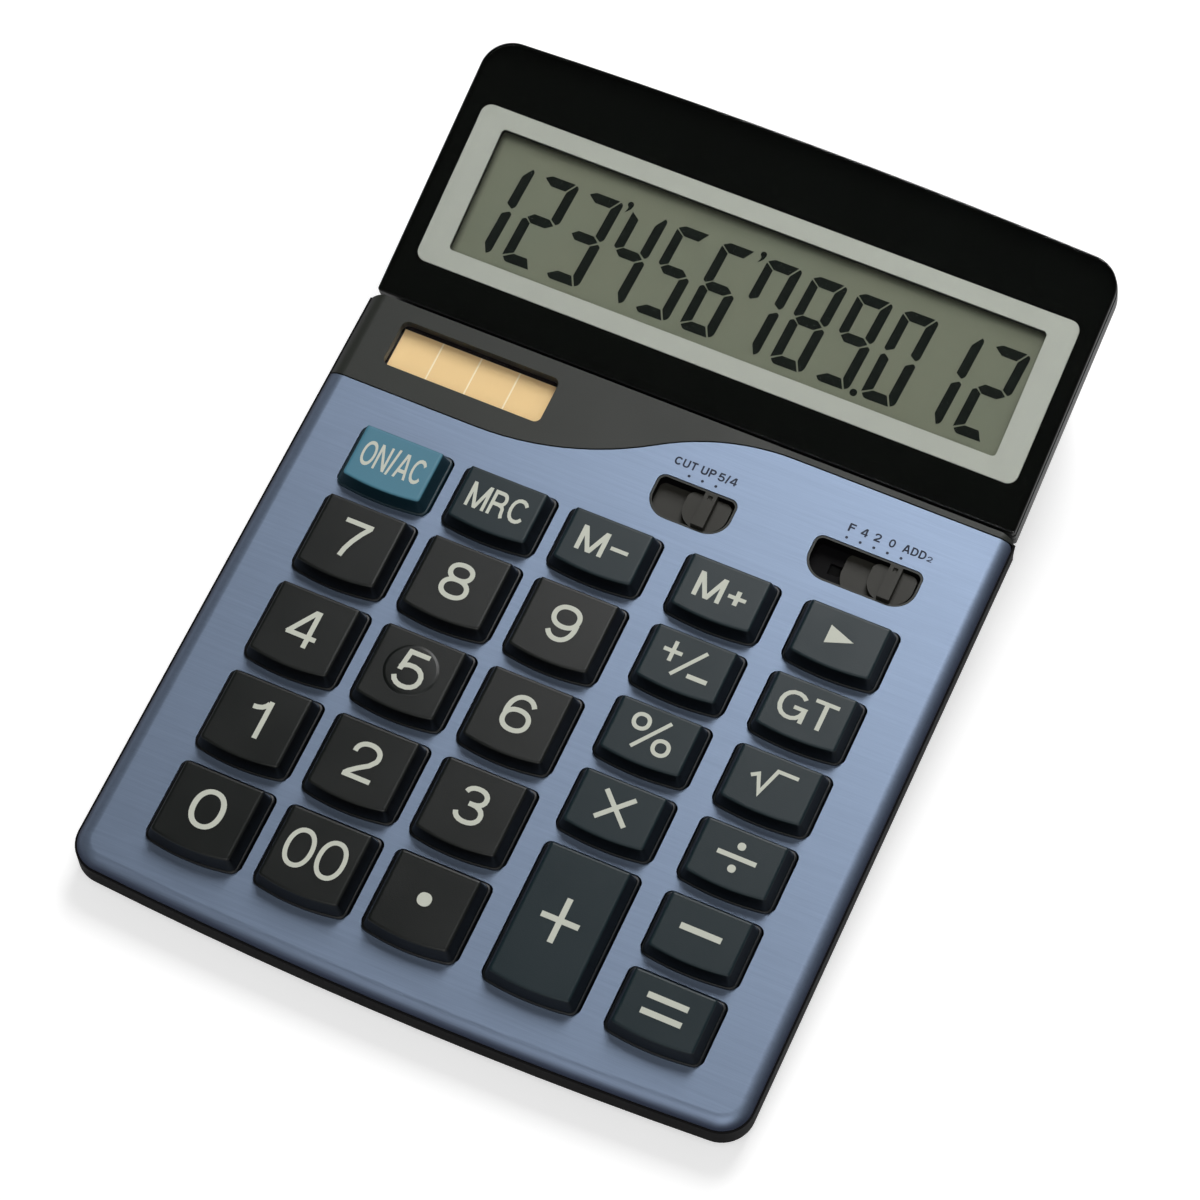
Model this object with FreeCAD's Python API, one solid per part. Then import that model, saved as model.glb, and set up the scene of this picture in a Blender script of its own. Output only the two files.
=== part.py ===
import FreeCAD, Part
import math
import os

# Desktop calculator with a tilting display head. All lengths are in millimetres.
#
# Three frames are used while the pieces are made.
# Deck frame: X to the right, Y to the rear along the key plate, Z along the plate's normal.
# Z is 0 on the plate's top face, and Y is 0 at the middle of the rim's front edge.
# Head frame: X along the hinge pins, Y along the display face away from the hinge, Z out of
# the face, with the origin on the hinge axis.
# Table frame: the deck frame turned by the body's slope, with Z measured from the table.
# The finished part stands on Z 0, centred on the origin.

V = FreeCAD.Vector

# Whole body
body_width = 138.0
body_slope = 6.0
front_height = 10.4
seam_y = 135.5
front_bow = 2.5
body_corner = 6.5
band_depth = 6.5
sharp = 0.3

# Front plate: a rolled sheet in a rebate of the upper housing
plate_thickness = 0.8
plate_inset = 0.45
plate_seat_gap = 0.05
roll_width = 3.0
roll_drop = 1.4
plate_edge_depth = 0.5
plate_corner = 1.0
wave_low_back = 19.9
wave_high_back = 1.5
wave_slope = 34.0
wave_rear_radius = 46.3
wave_side = 46.0
wave_gap = 0.3

# Upper housing
housing_wall = 1.8
housing_top_depth = 2.8
rim_drop = 1.5
rim_round = 0.2
shell_rear_wall = 2.0

# Hinge: the head turns in a round cradle behind the deck
hinge_drop = 4.87
cradle_radius = 8.15
cradle_gap = 0.15
cradle_wall = 1.6
rest_tilt = 13.2
ear_thickness = 4.0
ear_side = 10.2
ear_radius = 2.4
ear_neck = 4.4
pin_radius = 1.0
pin_running_gap = 0.05
pin_press_gap = 0.01
washer_thickness = 0.4
washer_gap = 0.1
washer_radius = 2.2
boss_length = 2.7
boss_radius = 2.4
ear_slot_gap = 0.3
ear_slot_top = -0.2

# Keys
keypad_left_margin = 12.0
keypad_right_margin = 12.1
keypad_front_margin = 11.3
keypad_rear_margin = 28.1
digit_columns = 3
digit_column_gap = 2.35
function_columns = 2
function_column_gap = 4.6
function_rows = 6
function_row_gap = 2.18
function_bow = 0.85
digit_rows = 4
digit_row_gap = 2.57
digit_bow = 1.07
key_corner = 1.6
key_gap = 0.35
key_height = 4.3
side_bevel = 1.75
rear_bevel = 1.5
front_bevel = 1.03
key_travel = 1.5
key_flange = 0.8
key_flange_thickness = 0.8
key_seat_gap = 0.05
key_wall = 1.2
key_top_wall = 1.5
key_plunger_radius = 2.2

# Slide switches
window_rear_margin = 14.3
window_depth = 9.2
window_front_round = 4.7
window_rear_round = 1.8
lip_gap = 0.12
lip_width = 0.38
lip_drop = 0.15
detent_pitch = 2.83
rounding_positions = 3
decimal_positions = 5
decimal_window_side = 13.14
window_spacing = 16.2
pad_width = 9.2
pad_end_gap = 0.52
pad_side_gap = 0.3
pad_drop = 1.2
ridge_width = 2.6
ridge_rise = 0.75
notch_size = 0.9
notch_inset = 0.6
notch_depth = 0.5
slider_thickness = 0.65
slider_overlap = 0.8
slider_gap = 0.1
slider_side_gap = 0.2
rounding_tail = 7.4
decimal_tail = 5.4
tray_floor = 0.8
tray_wall = 1.0
leg_size = 2.0
leg_gap = 0.2
leg_below_tray = 0.2
wiper_thickness = 0.2
wiper_width = 5.0
wiper_reach = 4.5
wiper_arm_width = 1.2
wiper_board_gap = 0.05

# Solar cell
solar_side = 9.0
solar_length = 33.95
solar_rear_margin = 3.6
solar_depth = 10.6
solar_corner = 1.4
solar_ledge = 0.5
solar_cover_depth = 1.9
solar_cover_thickness = 1.0
solar_cell_thickness = 1.4
solar_seat_gap = 0.05

# Keypad mat and main board
mat_thickness = 0.6
mat_margin = 1.5
mat_gap_below_key = 0.25
dome_base_radius = 4.5
dome_top_radius = 2.6
dome_wall = 0.7
dome_key_gap = 0.05
board_thickness = 1.2
board_front = 8.0
board_rear_margin = 7.5
board_side = 5.0
chip_radius = 7.5
chip_height = 1.8
chip_x = -18.0
chip_y = 84.0
capacitor_radius = 2.0
capacitor_height = 4.0
capacitor_spacing = 12.0
capacitor_behind_chip = 20.0
crystal_length = 6.0
crystal_width = 2.0
crystal_beside_chip = 20.0
resistor_length = 3.2
resistor_width = 1.6
resistor_height = 0.6
resistor_pitch = 5.0
resistor_beside_chip = 11.0
resistor_rows = 3

# Screws and posts
post_side = 7.5
first_post_y = 14.0
last_post_back = 9.0
post_rows = 6
post_radius = 2.5
post_meeting_depth = 8.0
lower_post_radius = 3.2
post_notch_gap = 0.6
thread_radius = 0.95
thread_gap = 0.05
screw_head_radius = 1.8
screw_head_height = 1.2
head_hole_gap = 0.2
thread_bite = 4.4
board_thread_bite = 2.2
screw_seat_height = 2.6

# Lower housing
lower_inset = 3.0
lower_wall = 1.6
locating_rise = 1.5
locating_gap = 0.2
foot_height = 1.0
foot_radius = 5.0
foot_side = 19.0
front_foot_y = 15.0
rear_foot_back = 14.0
platform_side = 6.0
platform_length = 54.5
platform_drop = 10.3
platform_corner = 6.0
bottom_round = 1.0

# Battery bay, placed in the table frame
battery_radius = 10.0
battery_thickness = 3.2
battery_step = 0.3
battery_cap_inset = 1.5
battery_x = 28.0
battery_y = 100.0
battery_side_gap = 0.6
battery_door_gap = 0.35
door_thickness = 1.4
door_gap = 0.3
door_ledge = 1.6
door_extra_length = 3.0
door_seat_gap = 0.05
door_leg_thickness = 1.0
door_leg_height = 3.0
door_leg_width = 6.0
grip_radius = 4.0
grip_depth = 0.5
bay_roof = 1.6
contact_thickness = 0.3
contact_width = 4.0
contact_gap = 0.05
contact_tab_rise = 1.2
lead_radius = 0.5
lead_end_gap = 0.06
lead_rise = 1.5
solar_lead_inset = 4.0
minus_lead_run = 4.0
plus_lead_run = 7.0

# Display head, in the head frame
head_side_gap = 0.8
head_top = 54.57
head_bow = 1.5
head_corner = 6.7
head_front_corner = 0.6
face_rise = 6.41
lens_thickness = 2.2
lens_inset = 0.15
lens_chamfer = 0.25
tape_gap = 0.1
front_case_top = 1.5
front_case_side = 1.5
case_parting = 2.5
tongue_wall = 1.2
tongue_depth = 1.6
tongue_gap = 0.1
trim_thickness = 0.4
trim_gap = 0.05
trim_side = 3.95
trim_front = 4.4
trim_rear_margin = 14.87
trim_side_width = 5.7
trim_front_width = 4.1
trim_rear_width = 4.0
trim_corner = 2.2
display_corner = 0.9
glass_margin = 1.4
glass_gap = 0.2
glass_thickness = 2.0
connector_height = 1.5
connector_width = 1.8
connector_inset = 0.3
display_board_thickness = 1.0
display_board_side = 1.55
display_board_reach = 5.3
display_post_x = 30.0
display_post_margin = 1.6
display_post_radius = 1.4
small_screw_gap = 0.3
small_thread = 0.6
small_head_radius = 1.3
small_head_height = 0.9
back_case_wall = 1.5
back_rim_depth = 3.7
back_depth = 5.1
back_taper = 3.5
front_case_post_side = 21.2
front_case_post_y = 3.6
rear_case_post_side = 10.2
rear_case_post_back = 8.57
case_post_radius = 2.2
case_post_meeting = 0.9
case_screw_head_sink = 0.2
case_screw_bite = 2.5

# Display ribbon
ribbon_half_width = 8.0
ribbon_thickness = 0.5
ribbon_end_gap = 0.3
ribbon_slot_gap = 0.9
ribbon_board_overlap = 8.0
ribbon_drop_run = 4.0
ribbon_cradle_gap = 1.0
ribbon_bend_height = 1.3
ribbon_landing = 1.6

# Places worked out from the sizes above
half_body = body_width / 2
half_head = half_body - head_side_gap
wave_low_y = seam_y - wave_low_back
wave_high_y = seam_y - wave_high_back
wave_right_x = half_body - wave_side
hinge_y = seam_y + math.sqrt(cradle_radius ** 2 - hinge_drop ** 2)
head_front = -math.sqrt((cradle_radius - cradle_gap) ** 2 - face_rise ** 2)
ear_middle_x = half_head - ear_side
roll_radius = (roll_width ** 2 + roll_drop ** 2) / (2 * roll_drop)
shell_rear_y = hinge_y - cradle_radius - shell_rear_wall
key_flange_top = -housing_top_depth - key_seat_gap
key_flange_bottom = key_flange_top - key_flange_thickness
mat_top = key_flange_bottom - key_travel - mat_gap_below_key
board_top = mat_top - mat_thickness
board_bottom = board_top - board_thickness
lens_bottom = face_rise - lens_thickness
front_case_face = lens_bottom - tape_gap
front_case_under = front_case_face - front_case_top
glass_top = front_case_under - glass_gap
glass_bottom = glass_top - glass_thickness
display_board_top = glass_bottom - connector_height
display_board_bottom = display_board_top - display_board_thickness
case_screw_seat = -back_depth + case_screw_head_sink + screw_head_height
column_gaps = (digit_columns - 1) * digit_column_gap + function_columns * function_column_gap
keypad_width = body_width - keypad_left_margin - keypad_right_margin
key_width = (keypad_width - column_gaps) / (digit_columns + function_columns)
top_row_rear = seam_y - keypad_rear_margin
function_row_pitch = (top_row_rear - keypad_front_margin + function_row_gap) / function_rows
function_depth = function_row_pitch - function_row_gap
digit_first_rear = top_row_rear - function_row_pitch
digit_row_pitch = (digit_first_rear - keypad_front_margin + digit_row_gap) / digit_rows
digit_depth = digit_row_pitch - digit_row_gap
window_rear = seam_y - window_rear_margin
window_front = window_rear - window_depth
solar_left = -half_body + solar_side
solar_rear = seam_y - solar_rear_margin
board_rear = seam_y - board_rear_margin
board_half_width = half_body - board_side
post_x = half_body - post_side
post_pitch = (seam_y - last_post_back - first_post_y) / (post_rows - 1)
post_places_y = [first_post_y + i * post_pitch for i in range(post_rows)]
board_post_rows = post_places_y[0::2]
base_post_rows = post_places_y[1::2]
foot_x = half_body - foot_side
platform_half_width = half_body - platform_side
platform_rear = seam_y + platform_length
rear_foot_y = platform_rear - rear_foot_back
trim_half_width = half_head - trim_side
trim_rear = head_top - trim_rear_margin
display_half_width = trim_half_width - trim_side_width
display_front = trim_front + trim_front_width
display_rear = trim_rear - trim_rear_width
display_board_half_width = display_half_width - display_board_side
display_board_front = display_front - display_board_reach
display_board_rear = display_rear + display_board_reach


def rounded(left, right, front, rear, front_round, rear_round, bow=0.0, inset=0.0, z=0.0,
            turned=False):
    """Outline with rounded corners. The front edge may bow out; turned swaps front and rear."""
    middle = (left + right) / 2
    half = (right - left) / 2 - inset
    front_r = max(front_round - inset, sharp)
    rear_r = max(rear_round - inset, sharp)
    corner_x = half - front_r
    if bow:
        bow_radius = ((right - left) ** 2 / 4 + bow ** 2) / (2 * bow)
        bow_centre = front + bow_radius
        corner_y = bow_centre - math.sqrt((bow_radius - inset - front_r) ** 2 - corner_x ** 2)
        sweep = math.atan2(bow_centre - corner_y, corner_x)
    else:
        corner_y = front + inset + front_r
        sweep = math.pi / 2
    rear_y = rear - inset - rear_r
    rear_x = half - rear_r
    sense = -1 if turned else 1

    def place(x, y):
        return V(middle + x, sense * y, z)

    def corner(x, y, radius, start, end, side):
        angles = (start, (start + end) / 2, end)
        points = [place(side * (x + radius * math.cos(a)), y + radius * math.sin(a)) for a in angles]
        return Part.Arc(*points).toShape()

    right_front = corner(corner_x, corner_y, front_r, 0, -sweep, 1)
    left_front = corner(corner_x, corner_y, front_r, -sweep, 0, -1)
    left_rear = corner(rear_x, rear_y, rear_r, 0, math.pi / 2, -1)
    right_rear = corner(rear_x, rear_y, rear_r, math.pi / 2, 0, 1)
    foot_x_right = corner_x + front_r * math.cos(sweep)
    foot_y_right = corner_y - front_r * math.sin(sweep)
    ends = (place(foot_x_right, foot_y_right), place(-foot_x_right, foot_y_right))
    if bow:
        front_edge = Part.Arc(ends[0], place(0, front + inset), ends[1]).toShape()
    else:
        front_edge = Part.LineSegment(*ends).toShape()
    left_side = Part.LineSegment(place(-half, corner_y), place(-half, rear_y)).toShape()
    right_side = Part.LineSegment(place(half, rear_y), place(half, corner_y)).toShape()
    rear_top = rear - inset
    rear_edge = Part.LineSegment(place(-rear_x, rear_top), place(rear_x, rear_top)).toShape()
    edges = [right_front, front_edge, left_front, left_side, left_rear, rear_edge, right_rear, right_side]
    return Part.Wire(edges)


def prism(low, high, **shape):
    """Upright solid of a rounded outline between two heights."""
    return Part.Face(rounded(z=low, **shape)).extrude(V(0, 0, high - low))


def tapered(low, high, low_shape, high_shape):
    """Solid between two rounded outlines at two heights."""
    return Part.makeLoft([rounded(z=low, **low_shape), rounded(z=high, **high_shape)], True, True)


def block(x0, x1, y0, y1, z0, z1):
    return Part.makeBox(x1 - x0, y1 - y0, z1 - z0, V(x0, y0, z0))


def upright_cylinder(x, y, z0, z1, radius):
    return Part.makeCylinder(radius, z1 - z0, V(x, y, z0))


def crosswise_cylinder(x0, x1, y, z, radius):
    """Cylinder along X between x0 and x1."""
    return Part.makeCylinder(radius, x1 - x0, V(x0, y, z), V(1, 0, 0))


def mirrored(shape):
    """The same shape on the left side."""
    return shape.mirror(V(0, 0, 0), V(1, 0, 0))


def both_sides(shape):
    return [shape, mirrored(shape)]


def joined(solids):
    """One solid from several that touch or overlap."""
    return solids[0].multiFuse(solids[1:]).removeSplitter()


def on_table(shape):
    """Move a shape from the deck frame to the table frame."""
    placed = shape.copy()
    placed.rotate(V(0, 0, 0), V(1, 0, 0), body_slope)
    placed.translate(V(0, 0, front_height))
    return placed


def on_hinge(shape):
    """Move a shape from the head frame to the deck frame, with the head at rest."""
    placed = shape.copy()
    placed.rotate(V(0, 0, 0), V(1, 0, 0), rest_tilt)
    placed.translate(V(0, hinge_y, -hinge_drop))
    return placed


def body_shape(inset, rear=seam_y, rear_round=sharp):
    """Outline settings of the body, drawn in from the rim by inset but not at the rear."""
    return dict(left=-half_body, right=half_body, front=0.0, rear=rear + inset, inset=inset,
                front_round=body_corner, rear_round=rear_round + inset, bow=front_bow)


def head_shape(inset, front_inset=None):
    """Outline settings of the head; its bowed edge is the top one, away from the hinge."""
    if front_inset is None:
        front_inset = inset
    return dict(left=-half_head, right=half_head, front=-head_top,
                rear=-head_front + inset - front_inset, inset=inset, front_round=head_corner,
                rear_round=head_front_corner + inset, bow=head_bow, turned=True)


def rolled_block(below):
    """The body's rolled top surface, lowered by a wall, as the top of a solid block."""
    grown = plate_inset - (roll_radius - roll_width) + below
    bottom = -band_depth - below
    shape = body_shape(grown, rear=hinge_y)
    solid = prism(bottom, -below, **shape)
    edges = []
    for edge in solid.Edges:
        box = edge.BoundBox
        on_top = box.ZMin > -below - 0.001
        at_rear = box.YMin > hinge_y - 1.0
        if on_top and not at_rear:
            edges.append(edge)
    return solid.makeFillet(roll_radius - below, edges)


def before_wave(gap, low, high):
    """Everything in front of the plate's wave-shaped rear edge, grown by gap."""
    slope = math.radians(wave_slope)
    rise = wave_high_y - wave_low_y
    front_radius = rise / (1 - math.cos(slope)) - wave_rear_radius
    left_x = wave_right_x - rise / (1 - math.cos(slope)) * math.sin(slope)
    reach = half_body + 5.0

    def on_front_arc(angle):
        radius = front_radius - gap
        x = left_x + radius * math.sin(angle)
        return V(x, wave_low_y + front_radius - radius * math.cos(angle), low)

    def on_rear_arc(angle):
        radius = wave_rear_radius + gap
        x = wave_right_x - radius * math.sin(angle)
        return V(x, wave_high_y - wave_rear_radius + radius * math.cos(angle), low)

    far_left = V(-reach, wave_low_y + gap, low)
    far_right = V(reach, wave_high_y + gap, low)
    front_left = V(-reach, -reach, low)
    front_right = V(reach, -reach, low)
    edges = [
        Part.LineSegment(front_left, far_left),
        Part.LineSegment(far_left, on_front_arc(0)),
        Part.Arc(on_front_arc(0), on_front_arc(slope / 2), on_front_arc(slope)),
        Part.Arc(on_front_arc(slope), on_rear_arc(slope / 2), on_rear_arc(0)),
        Part.LineSegment(on_rear_arc(0), far_right),
        Part.LineSegment(far_right, front_right),
        Part.LineSegment(front_right, front_left),
    ]
    wire = Part.Wire([edge.toShape() for edge in edges])
    return Part.Face(wire).extrude(V(0, 0, high - low))


# The keypad's layout
column_left = [-half_body + keypad_left_margin]
for gap in [digit_column_gap] * (digit_columns - 1) + [function_column_gap] * function_columns:
    column_left.append(column_left[-1] + key_width + gap)
digit_names = [
    ["key_7", "key_8", "key_9"],
    ["key_4", "key_5", "key_6"],
    ["key_1", "key_2", "key_3"],
    ["key_0", "key_00", "key_point"],
]
memory_names = ["key_on_ac", "key_mrc", "key_m_minus"]
inner_function_names = ["key_m_plus", "key_sign", "key_percent", "key_multiply", "key_plus"]
outer_function_names = ["key_shift_right", "key_grand_total", "key_root", "key_divide",
                        "key_minus", "key_equals"]


def key_opening(column, rear, depth, bow):
    return dict(left=column_left[column], right=column_left[column] + key_width, front=rear - depth,
                rear=rear, front_round=key_corner, rear_round=key_corner, bow=bow)


def keypad_layout():
    """Opening outline of each key, by name."""
    openings = {}
    for column, name in enumerate(memory_names):
        openings[name] = key_opening(column, top_row_rear, function_depth, function_bow)
    for row, names in enumerate(digit_names):
        for column, name in enumerate(names):
            rear = digit_first_rear - row * digit_row_pitch
            openings[name] = key_opening(column, rear, digit_depth, digit_bow)
    for row, name in enumerate(inner_function_names):
        rear = top_row_rear - row * function_row_pitch
        double = name == "key_plus"
        depth = function_depth + function_row_pitch if double else function_depth
        openings[name] = key_opening(digit_columns, rear, depth, function_bow)
    for row, name in enumerate(outer_function_names):
        rear = top_row_rear - row * function_row_pitch
        openings[name] = key_opening(digit_columns + 1, rear, function_depth, function_bow)
    return openings


keypad = keypad_layout()


def window_opening(right, positions):
    """Plate opening of a slide switch, as wide as its knob, its travel and its lips need."""
    travel = (positions - 1) * detent_pitch
    width = pad_width + travel + 2 * (pad_end_gap + lip_gap + lip_width)
    return dict(left=right - width, right=right, front=window_front, rear=window_rear,
                front_round=window_front_round, rear_round=window_rear_round)


decimal_window = window_opening(half_body - decimal_window_side, decimal_positions)
rounding_window = window_opening(decimal_window["left"] - window_spacing, rounding_positions)
solar_opening = dict(left=solar_left, right=solar_left + solar_length, front=solar_rear - solar_depth,
                     rear=solar_rear, front_round=solar_corner, rear_round=solar_corner)


def key_middle(opening):
    return (opening["left"] + opening["right"]) / 2, (opening["front"] + opening["rear"]) / 2


def post_places(rows):
    return [(x, y) for x in (-post_x, post_x) for y in rows]


def front_plate():
    """Rolled sheet with its key openings and switch windows."""
    lowest = -roll_drop - plate_edge_depth
    outer = rolled_block(0.0)
    outer = outer.common(prism(lowest, 1.0, **body_shape(plate_inset, wave_high_y, plate_corner)))
    sheet = outer.cut(rolled_block(plate_thickness)).common(before_wave(0.0, lowest, 1.0))
    holes = [prism(lowest, 1.0, **opening) for opening in keypad.values()]
    holes += [prism(lowest, 1.0, **window) for window in (rounding_window, decimal_window)]
    return sheet.cut(holes)


def slider_places(window, tail):
    """Places along X of a switch's pad and of its slider plate, at rest at the right-hand end."""
    pad_right = window["right"] - lip_gap - lip_width - pad_end_gap
    pad_left = pad_right - pad_width
    return pad_left, pad_right, pad_left - tail, pad_right + slider_overlap


def tray_places(window, tail, positions):
    """Inside length of the tray that a slider runs in."""
    pad_left, pad_right, plate_left, plate_right = slider_places(window, tail)
    travel = (positions - 1) * detent_pitch
    return plate_left - travel - 2 * slider_side_gap, plate_right + slider_side_gap


def slider_tray(window, tail, positions):
    """Tray below a switch window, its inside space and the slot for the slider's leg."""
    left, right = tray_places(window, tail, positions)
    front = window_front - slider_side_gap
    rear = window_rear + slider_side_gap
    top = -housing_top_depth
    floor_top = top - slider_gap - slider_thickness - plate_seat_gap
    tray = block(left - tray_wall, right + tray_wall, front - tray_wall, rear + tray_wall,
                 floor_top - tray_floor, top)
    space = block(left, right, front, rear, floor_top, top)
    pad_left, pad_right = slider_places(window, tail)[:2]
    leg_x = (pad_left + pad_right) / 2
    leg_y = (window_front + window_rear) / 2
    reach = leg_size / 2 + leg_gap
    travel = (positions - 1) * detent_pitch
    slot = block(leg_x - travel - reach, leg_x + reach, leg_y - reach, leg_y + reach,
                 floor_top - tray_floor, floor_top)
    return tray, [space, slot]


def upper_housing():
    """Top shell: rebate for the plate, bare deck behind the wave, rim band, trays and posts."""
    shelf = -roll_drop - plate_edge_depth - plate_seat_gap
    rim_inner = plate_inset - plate_seat_gap
    band = prism(-band_depth, shelf, **body_shape(0.0, hinge_y))
    rim = prism(shelf, -rim_drop, **body_shape(0.0, hinge_y))
    rim_edges = [e for e in rim.Edges
                 if e.BoundBox.ZMin > -rim_drop - 0.001 and e.BoundBox.YMin < seam_y]
    rim = rim.makeFillet(rim_round, rim_edges)
    rim = rim.cut(prism(shelf, 0.0, **body_shape(rim_inner, hinge_y + 1.0)))
    below_plate = rolled_block(plate_thickness + plate_seat_gap)
    below_plate = below_plate.common(prism(-band_depth, 0.0, **body_shape(rim_inner, hinge_y)))
    deck = rolled_block(0.0).common(prism(shelf, 0.0, **body_shape(rim_inner, hinge_y)))
    deck = deck.cut(before_wave(wave_gap, -band_depth, 1.0))
    shell = joined([band, rim, below_plate, deck])
    inside = prism(-band_depth - 1.0, -housing_top_depth, **body_shape(housing_wall, shell_rear_y))
    shell = shell.cut(inside)

    added = []
    removed = []
    for window, tail, positions in ((rounding_window, rounding_tail, rounding_positions),
                                    (decimal_window, decimal_tail, decimal_positions)):
        tray, spaces = slider_tray(window, tail, positions)
        added.append(tray)
        removed += spaces
        added.append(prism(-housing_top_depth, -lip_drop, **dict(window, inset=lip_gap)))
        removed.append(prism(-housing_top_depth, 1.0, **dict(window, inset=lip_gap + lip_width)))
    bore = thread_radius + thread_gap
    for rows, foot in ((board_post_rows, board_top), (base_post_rows, -post_meeting_depth)):
        for x, y in post_places(rows):
            added.append(upright_cylinder(x, y, foot, -housing_top_depth, post_radius))
            removed.append(upright_cylinder(x, y, foot, -housing_top_depth, bore))
    removed += [prism(-housing_top_depth, 1.0, **opening) for opening in keypad.values()]
    removed.append(prism(-band_depth, 1.0, **solar_opening))
    ledge = dict(solar_opening, inset=-solar_ledge)
    removed.append(prism(-band_depth, -solar_cover_depth, **ledge))
    removed.append(crosswise_cylinder(-body_width, body_width, hinge_y, -hinge_drop, cradle_radius))
    removed.append(block(-body_width, body_width, seam_y, hinge_y * 2, -hinge_drop, 1.0))
    removed.append(block(-body_width, body_width, hinge_y - 1.0, hinge_y * 2, -body_width, 1.0))
    return joined([shell] + added).cut(removed)


def key_cap(opening):
    """Moulded key: bevelled cap, skirt with a flange under the housing, and a plunger."""
    def drawn_in(side, rear, front):
        return dict(opening, left=opening["left"] + side, right=opening["right"] - side,
                    front=opening["front"] + front, rear=opening["rear"] - rear)

    base = drawn_in(key_gap, key_gap, key_gap)
    top = drawn_in(key_gap + side_bevel, key_gap + rear_bevel, key_gap + front_bevel)
    cap = tapered(0.0, key_height, base, top)
    skirt = prism(key_flange_bottom, 0.0, **base)
    flange = prism(key_flange_bottom, key_flange_top, **dict(opening, inset=-key_flange))
    key = joined([cap, skirt, flange])
    lower_space = prism(key_flange_bottom, 0.0, **dict(opening, inset=key_gap + key_wall))
    upper_space = prism(0.0, key_height - key_top_wall,
                        **dict(opening, inset=key_gap + side_bevel + key_wall / 2))
    x, y = key_middle(opening)
    plunger = upright_cylinder(x, y, key_flange_bottom, key_height - key_top_wall, key_plunger_radius)
    return key.cut(lower_space).cut(upper_space).fuse(plunger)


def keypad_mat():
    """Rubber mat with a hollow dome under each key's plunger."""
    left = column_left[0] - mat_margin
    right = column_left[-1] + key_width + mat_margin
    front = keypad_front_margin - mat_margin
    rear = top_row_rear + mat_margin
    mat = block(left, right, front, rear, board_top, mat_top)
    domes = []
    hollows = []
    top = key_flange_bottom - dome_key_gap
    for opening in keypad.values():
        x, y = key_middle(opening)
        domes.append(Part.makeCone(dome_base_radius, dome_top_radius, top - mat_top, V(x, y, mat_top)))
        hollow_height = top - board_top - 2 * dome_wall
        hollows.append(Part.makeCone(dome_base_radius - dome_wall, dome_top_radius - dome_wall,
                                     hollow_height, V(x, y, board_top)))
    return joined([mat] + domes).cut(hollows)


def main_board():
    """Circuit board with notches round the base posts and holes for its screws."""
    board = block(-board_half_width, board_half_width, board_front, board_rear, board_bottom, board_top)
    cuts = [upright_cylinder(x, y, board_bottom, board_top, post_radius + post_notch_gap)
            for x, y in post_places(base_post_rows)]
    cuts += [upright_cylinder(x, y, board_bottom, board_top, thread_radius + head_hole_gap)
             for x, y in post_places(board_post_rows)]
    return board.cut(cuts)


def controller_chip():
    """Epoxy blob over the controller, on the underside of the board."""
    ball_radius = (chip_radius ** 2 + chip_height ** 2) / (2 * chip_height)
    ball = Part.makeSphere(ball_radius, V(chip_x, chip_y, board_bottom + ball_radius - chip_height))
    return ball.common(block(chip_x - chip_radius, chip_x + chip_radius, chip_y - chip_radius,
                             chip_y + chip_radius, board_bottom - chip_height, board_bottom))


def board_components():
    """Capacitors, crystal and resistors on the underside of the board."""
    capacitor_y = chip_y + capacitor_behind_chip
    parts = [upright_cylinder(x, capacitor_y, board_bottom - capacitor_height, board_bottom,
                              capacitor_radius)
             for x in (chip_x - capacitor_spacing, chip_x)]
    crystal_x = chip_x - crystal_beside_chip
    parts.append(block(crystal_x, crystal_x + crystal_length, chip_y - crystal_width, chip_y,
                       board_bottom - crystal_width, board_bottom))
    for column in range(2):
        for row in range(resistor_rows):
            x = chip_x + resistor_beside_chip + resistor_pitch * column
            y = chip_y + resistor_pitch * (row - 1)
            parts.append(block(x, x + resistor_length, y, y + resistor_width,
                               board_bottom - resistor_height, board_bottom))
    return parts


def screw_up(x, y, seat, tip, radius=thread_radius, head_radius=screw_head_radius,
             head_height=screw_head_height):
    """Screw driven upwards: its head hangs below the seat and its shank ends at the tip."""
    head = upright_cylinder(x, y, seat - head_height, seat, head_radius)
    shank = upright_cylinder(x, y, seat, tip, radius)
    return head.fuse(shank)


def board_screws():
    return [screw_up(x, y, board_bottom, board_top + board_thread_bite)
            for x, y in post_places(board_post_rows)]


def slider_knob(window, tail):
    """Switch knob: a pad shaped like the window's end, a tall ridge, a slider plate and a leg."""
    pad_left, pad_right, plate_left, plate_right = slider_places(window, tail)
    lip = lip_gap + lip_width
    plate_top = -housing_top_depth - slider_gap
    plate_bottom = plate_top - slider_thickness
    plate_shape = dict(window, left=plate_left, right=plate_right)
    plate = prism(plate_bottom, plate_top, **plate_shape)
    pad_shape = dict(window, left=pad_left, right=pad_right, front=window["front"] + lip + pad_side_gap,
                     rear=window["rear"] - lip - pad_side_gap,
                     front_round=window_front_round - lip, rear_round=window_rear_round - sharp)
    pad = prism(plate_top, -pad_drop, **pad_shape)
    middle = (pad_left + pad_right) / 2
    ridge_front = pad_shape["front"]
    ridge_rear = pad_shape["rear"]
    ridge = block(middle - ridge_width / 2, middle + ridge_width / 2, ridge_front, ridge_rear,
                  plate_top, ridge_rise)
    notch = block(middle - notch_size / 2, middle + notch_size / 2, ridge_rear - notch_inset - notch_size,
                  ridge_rear - notch_inset, ridge_rise - notch_depth, ridge_rise)
    leg_y = (window_front + window_rear) / 2
    tray_bottom = plate_bottom - plate_seat_gap - tray_floor
    leg = block(middle - leg_size / 2, middle + leg_size / 2, leg_y - leg_size / 2, leg_y + leg_size / 2,
                tray_bottom - leg_below_tray, plate_bottom)
    return joined([plate, pad, ridge, leg]).cut(notch)


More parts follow.
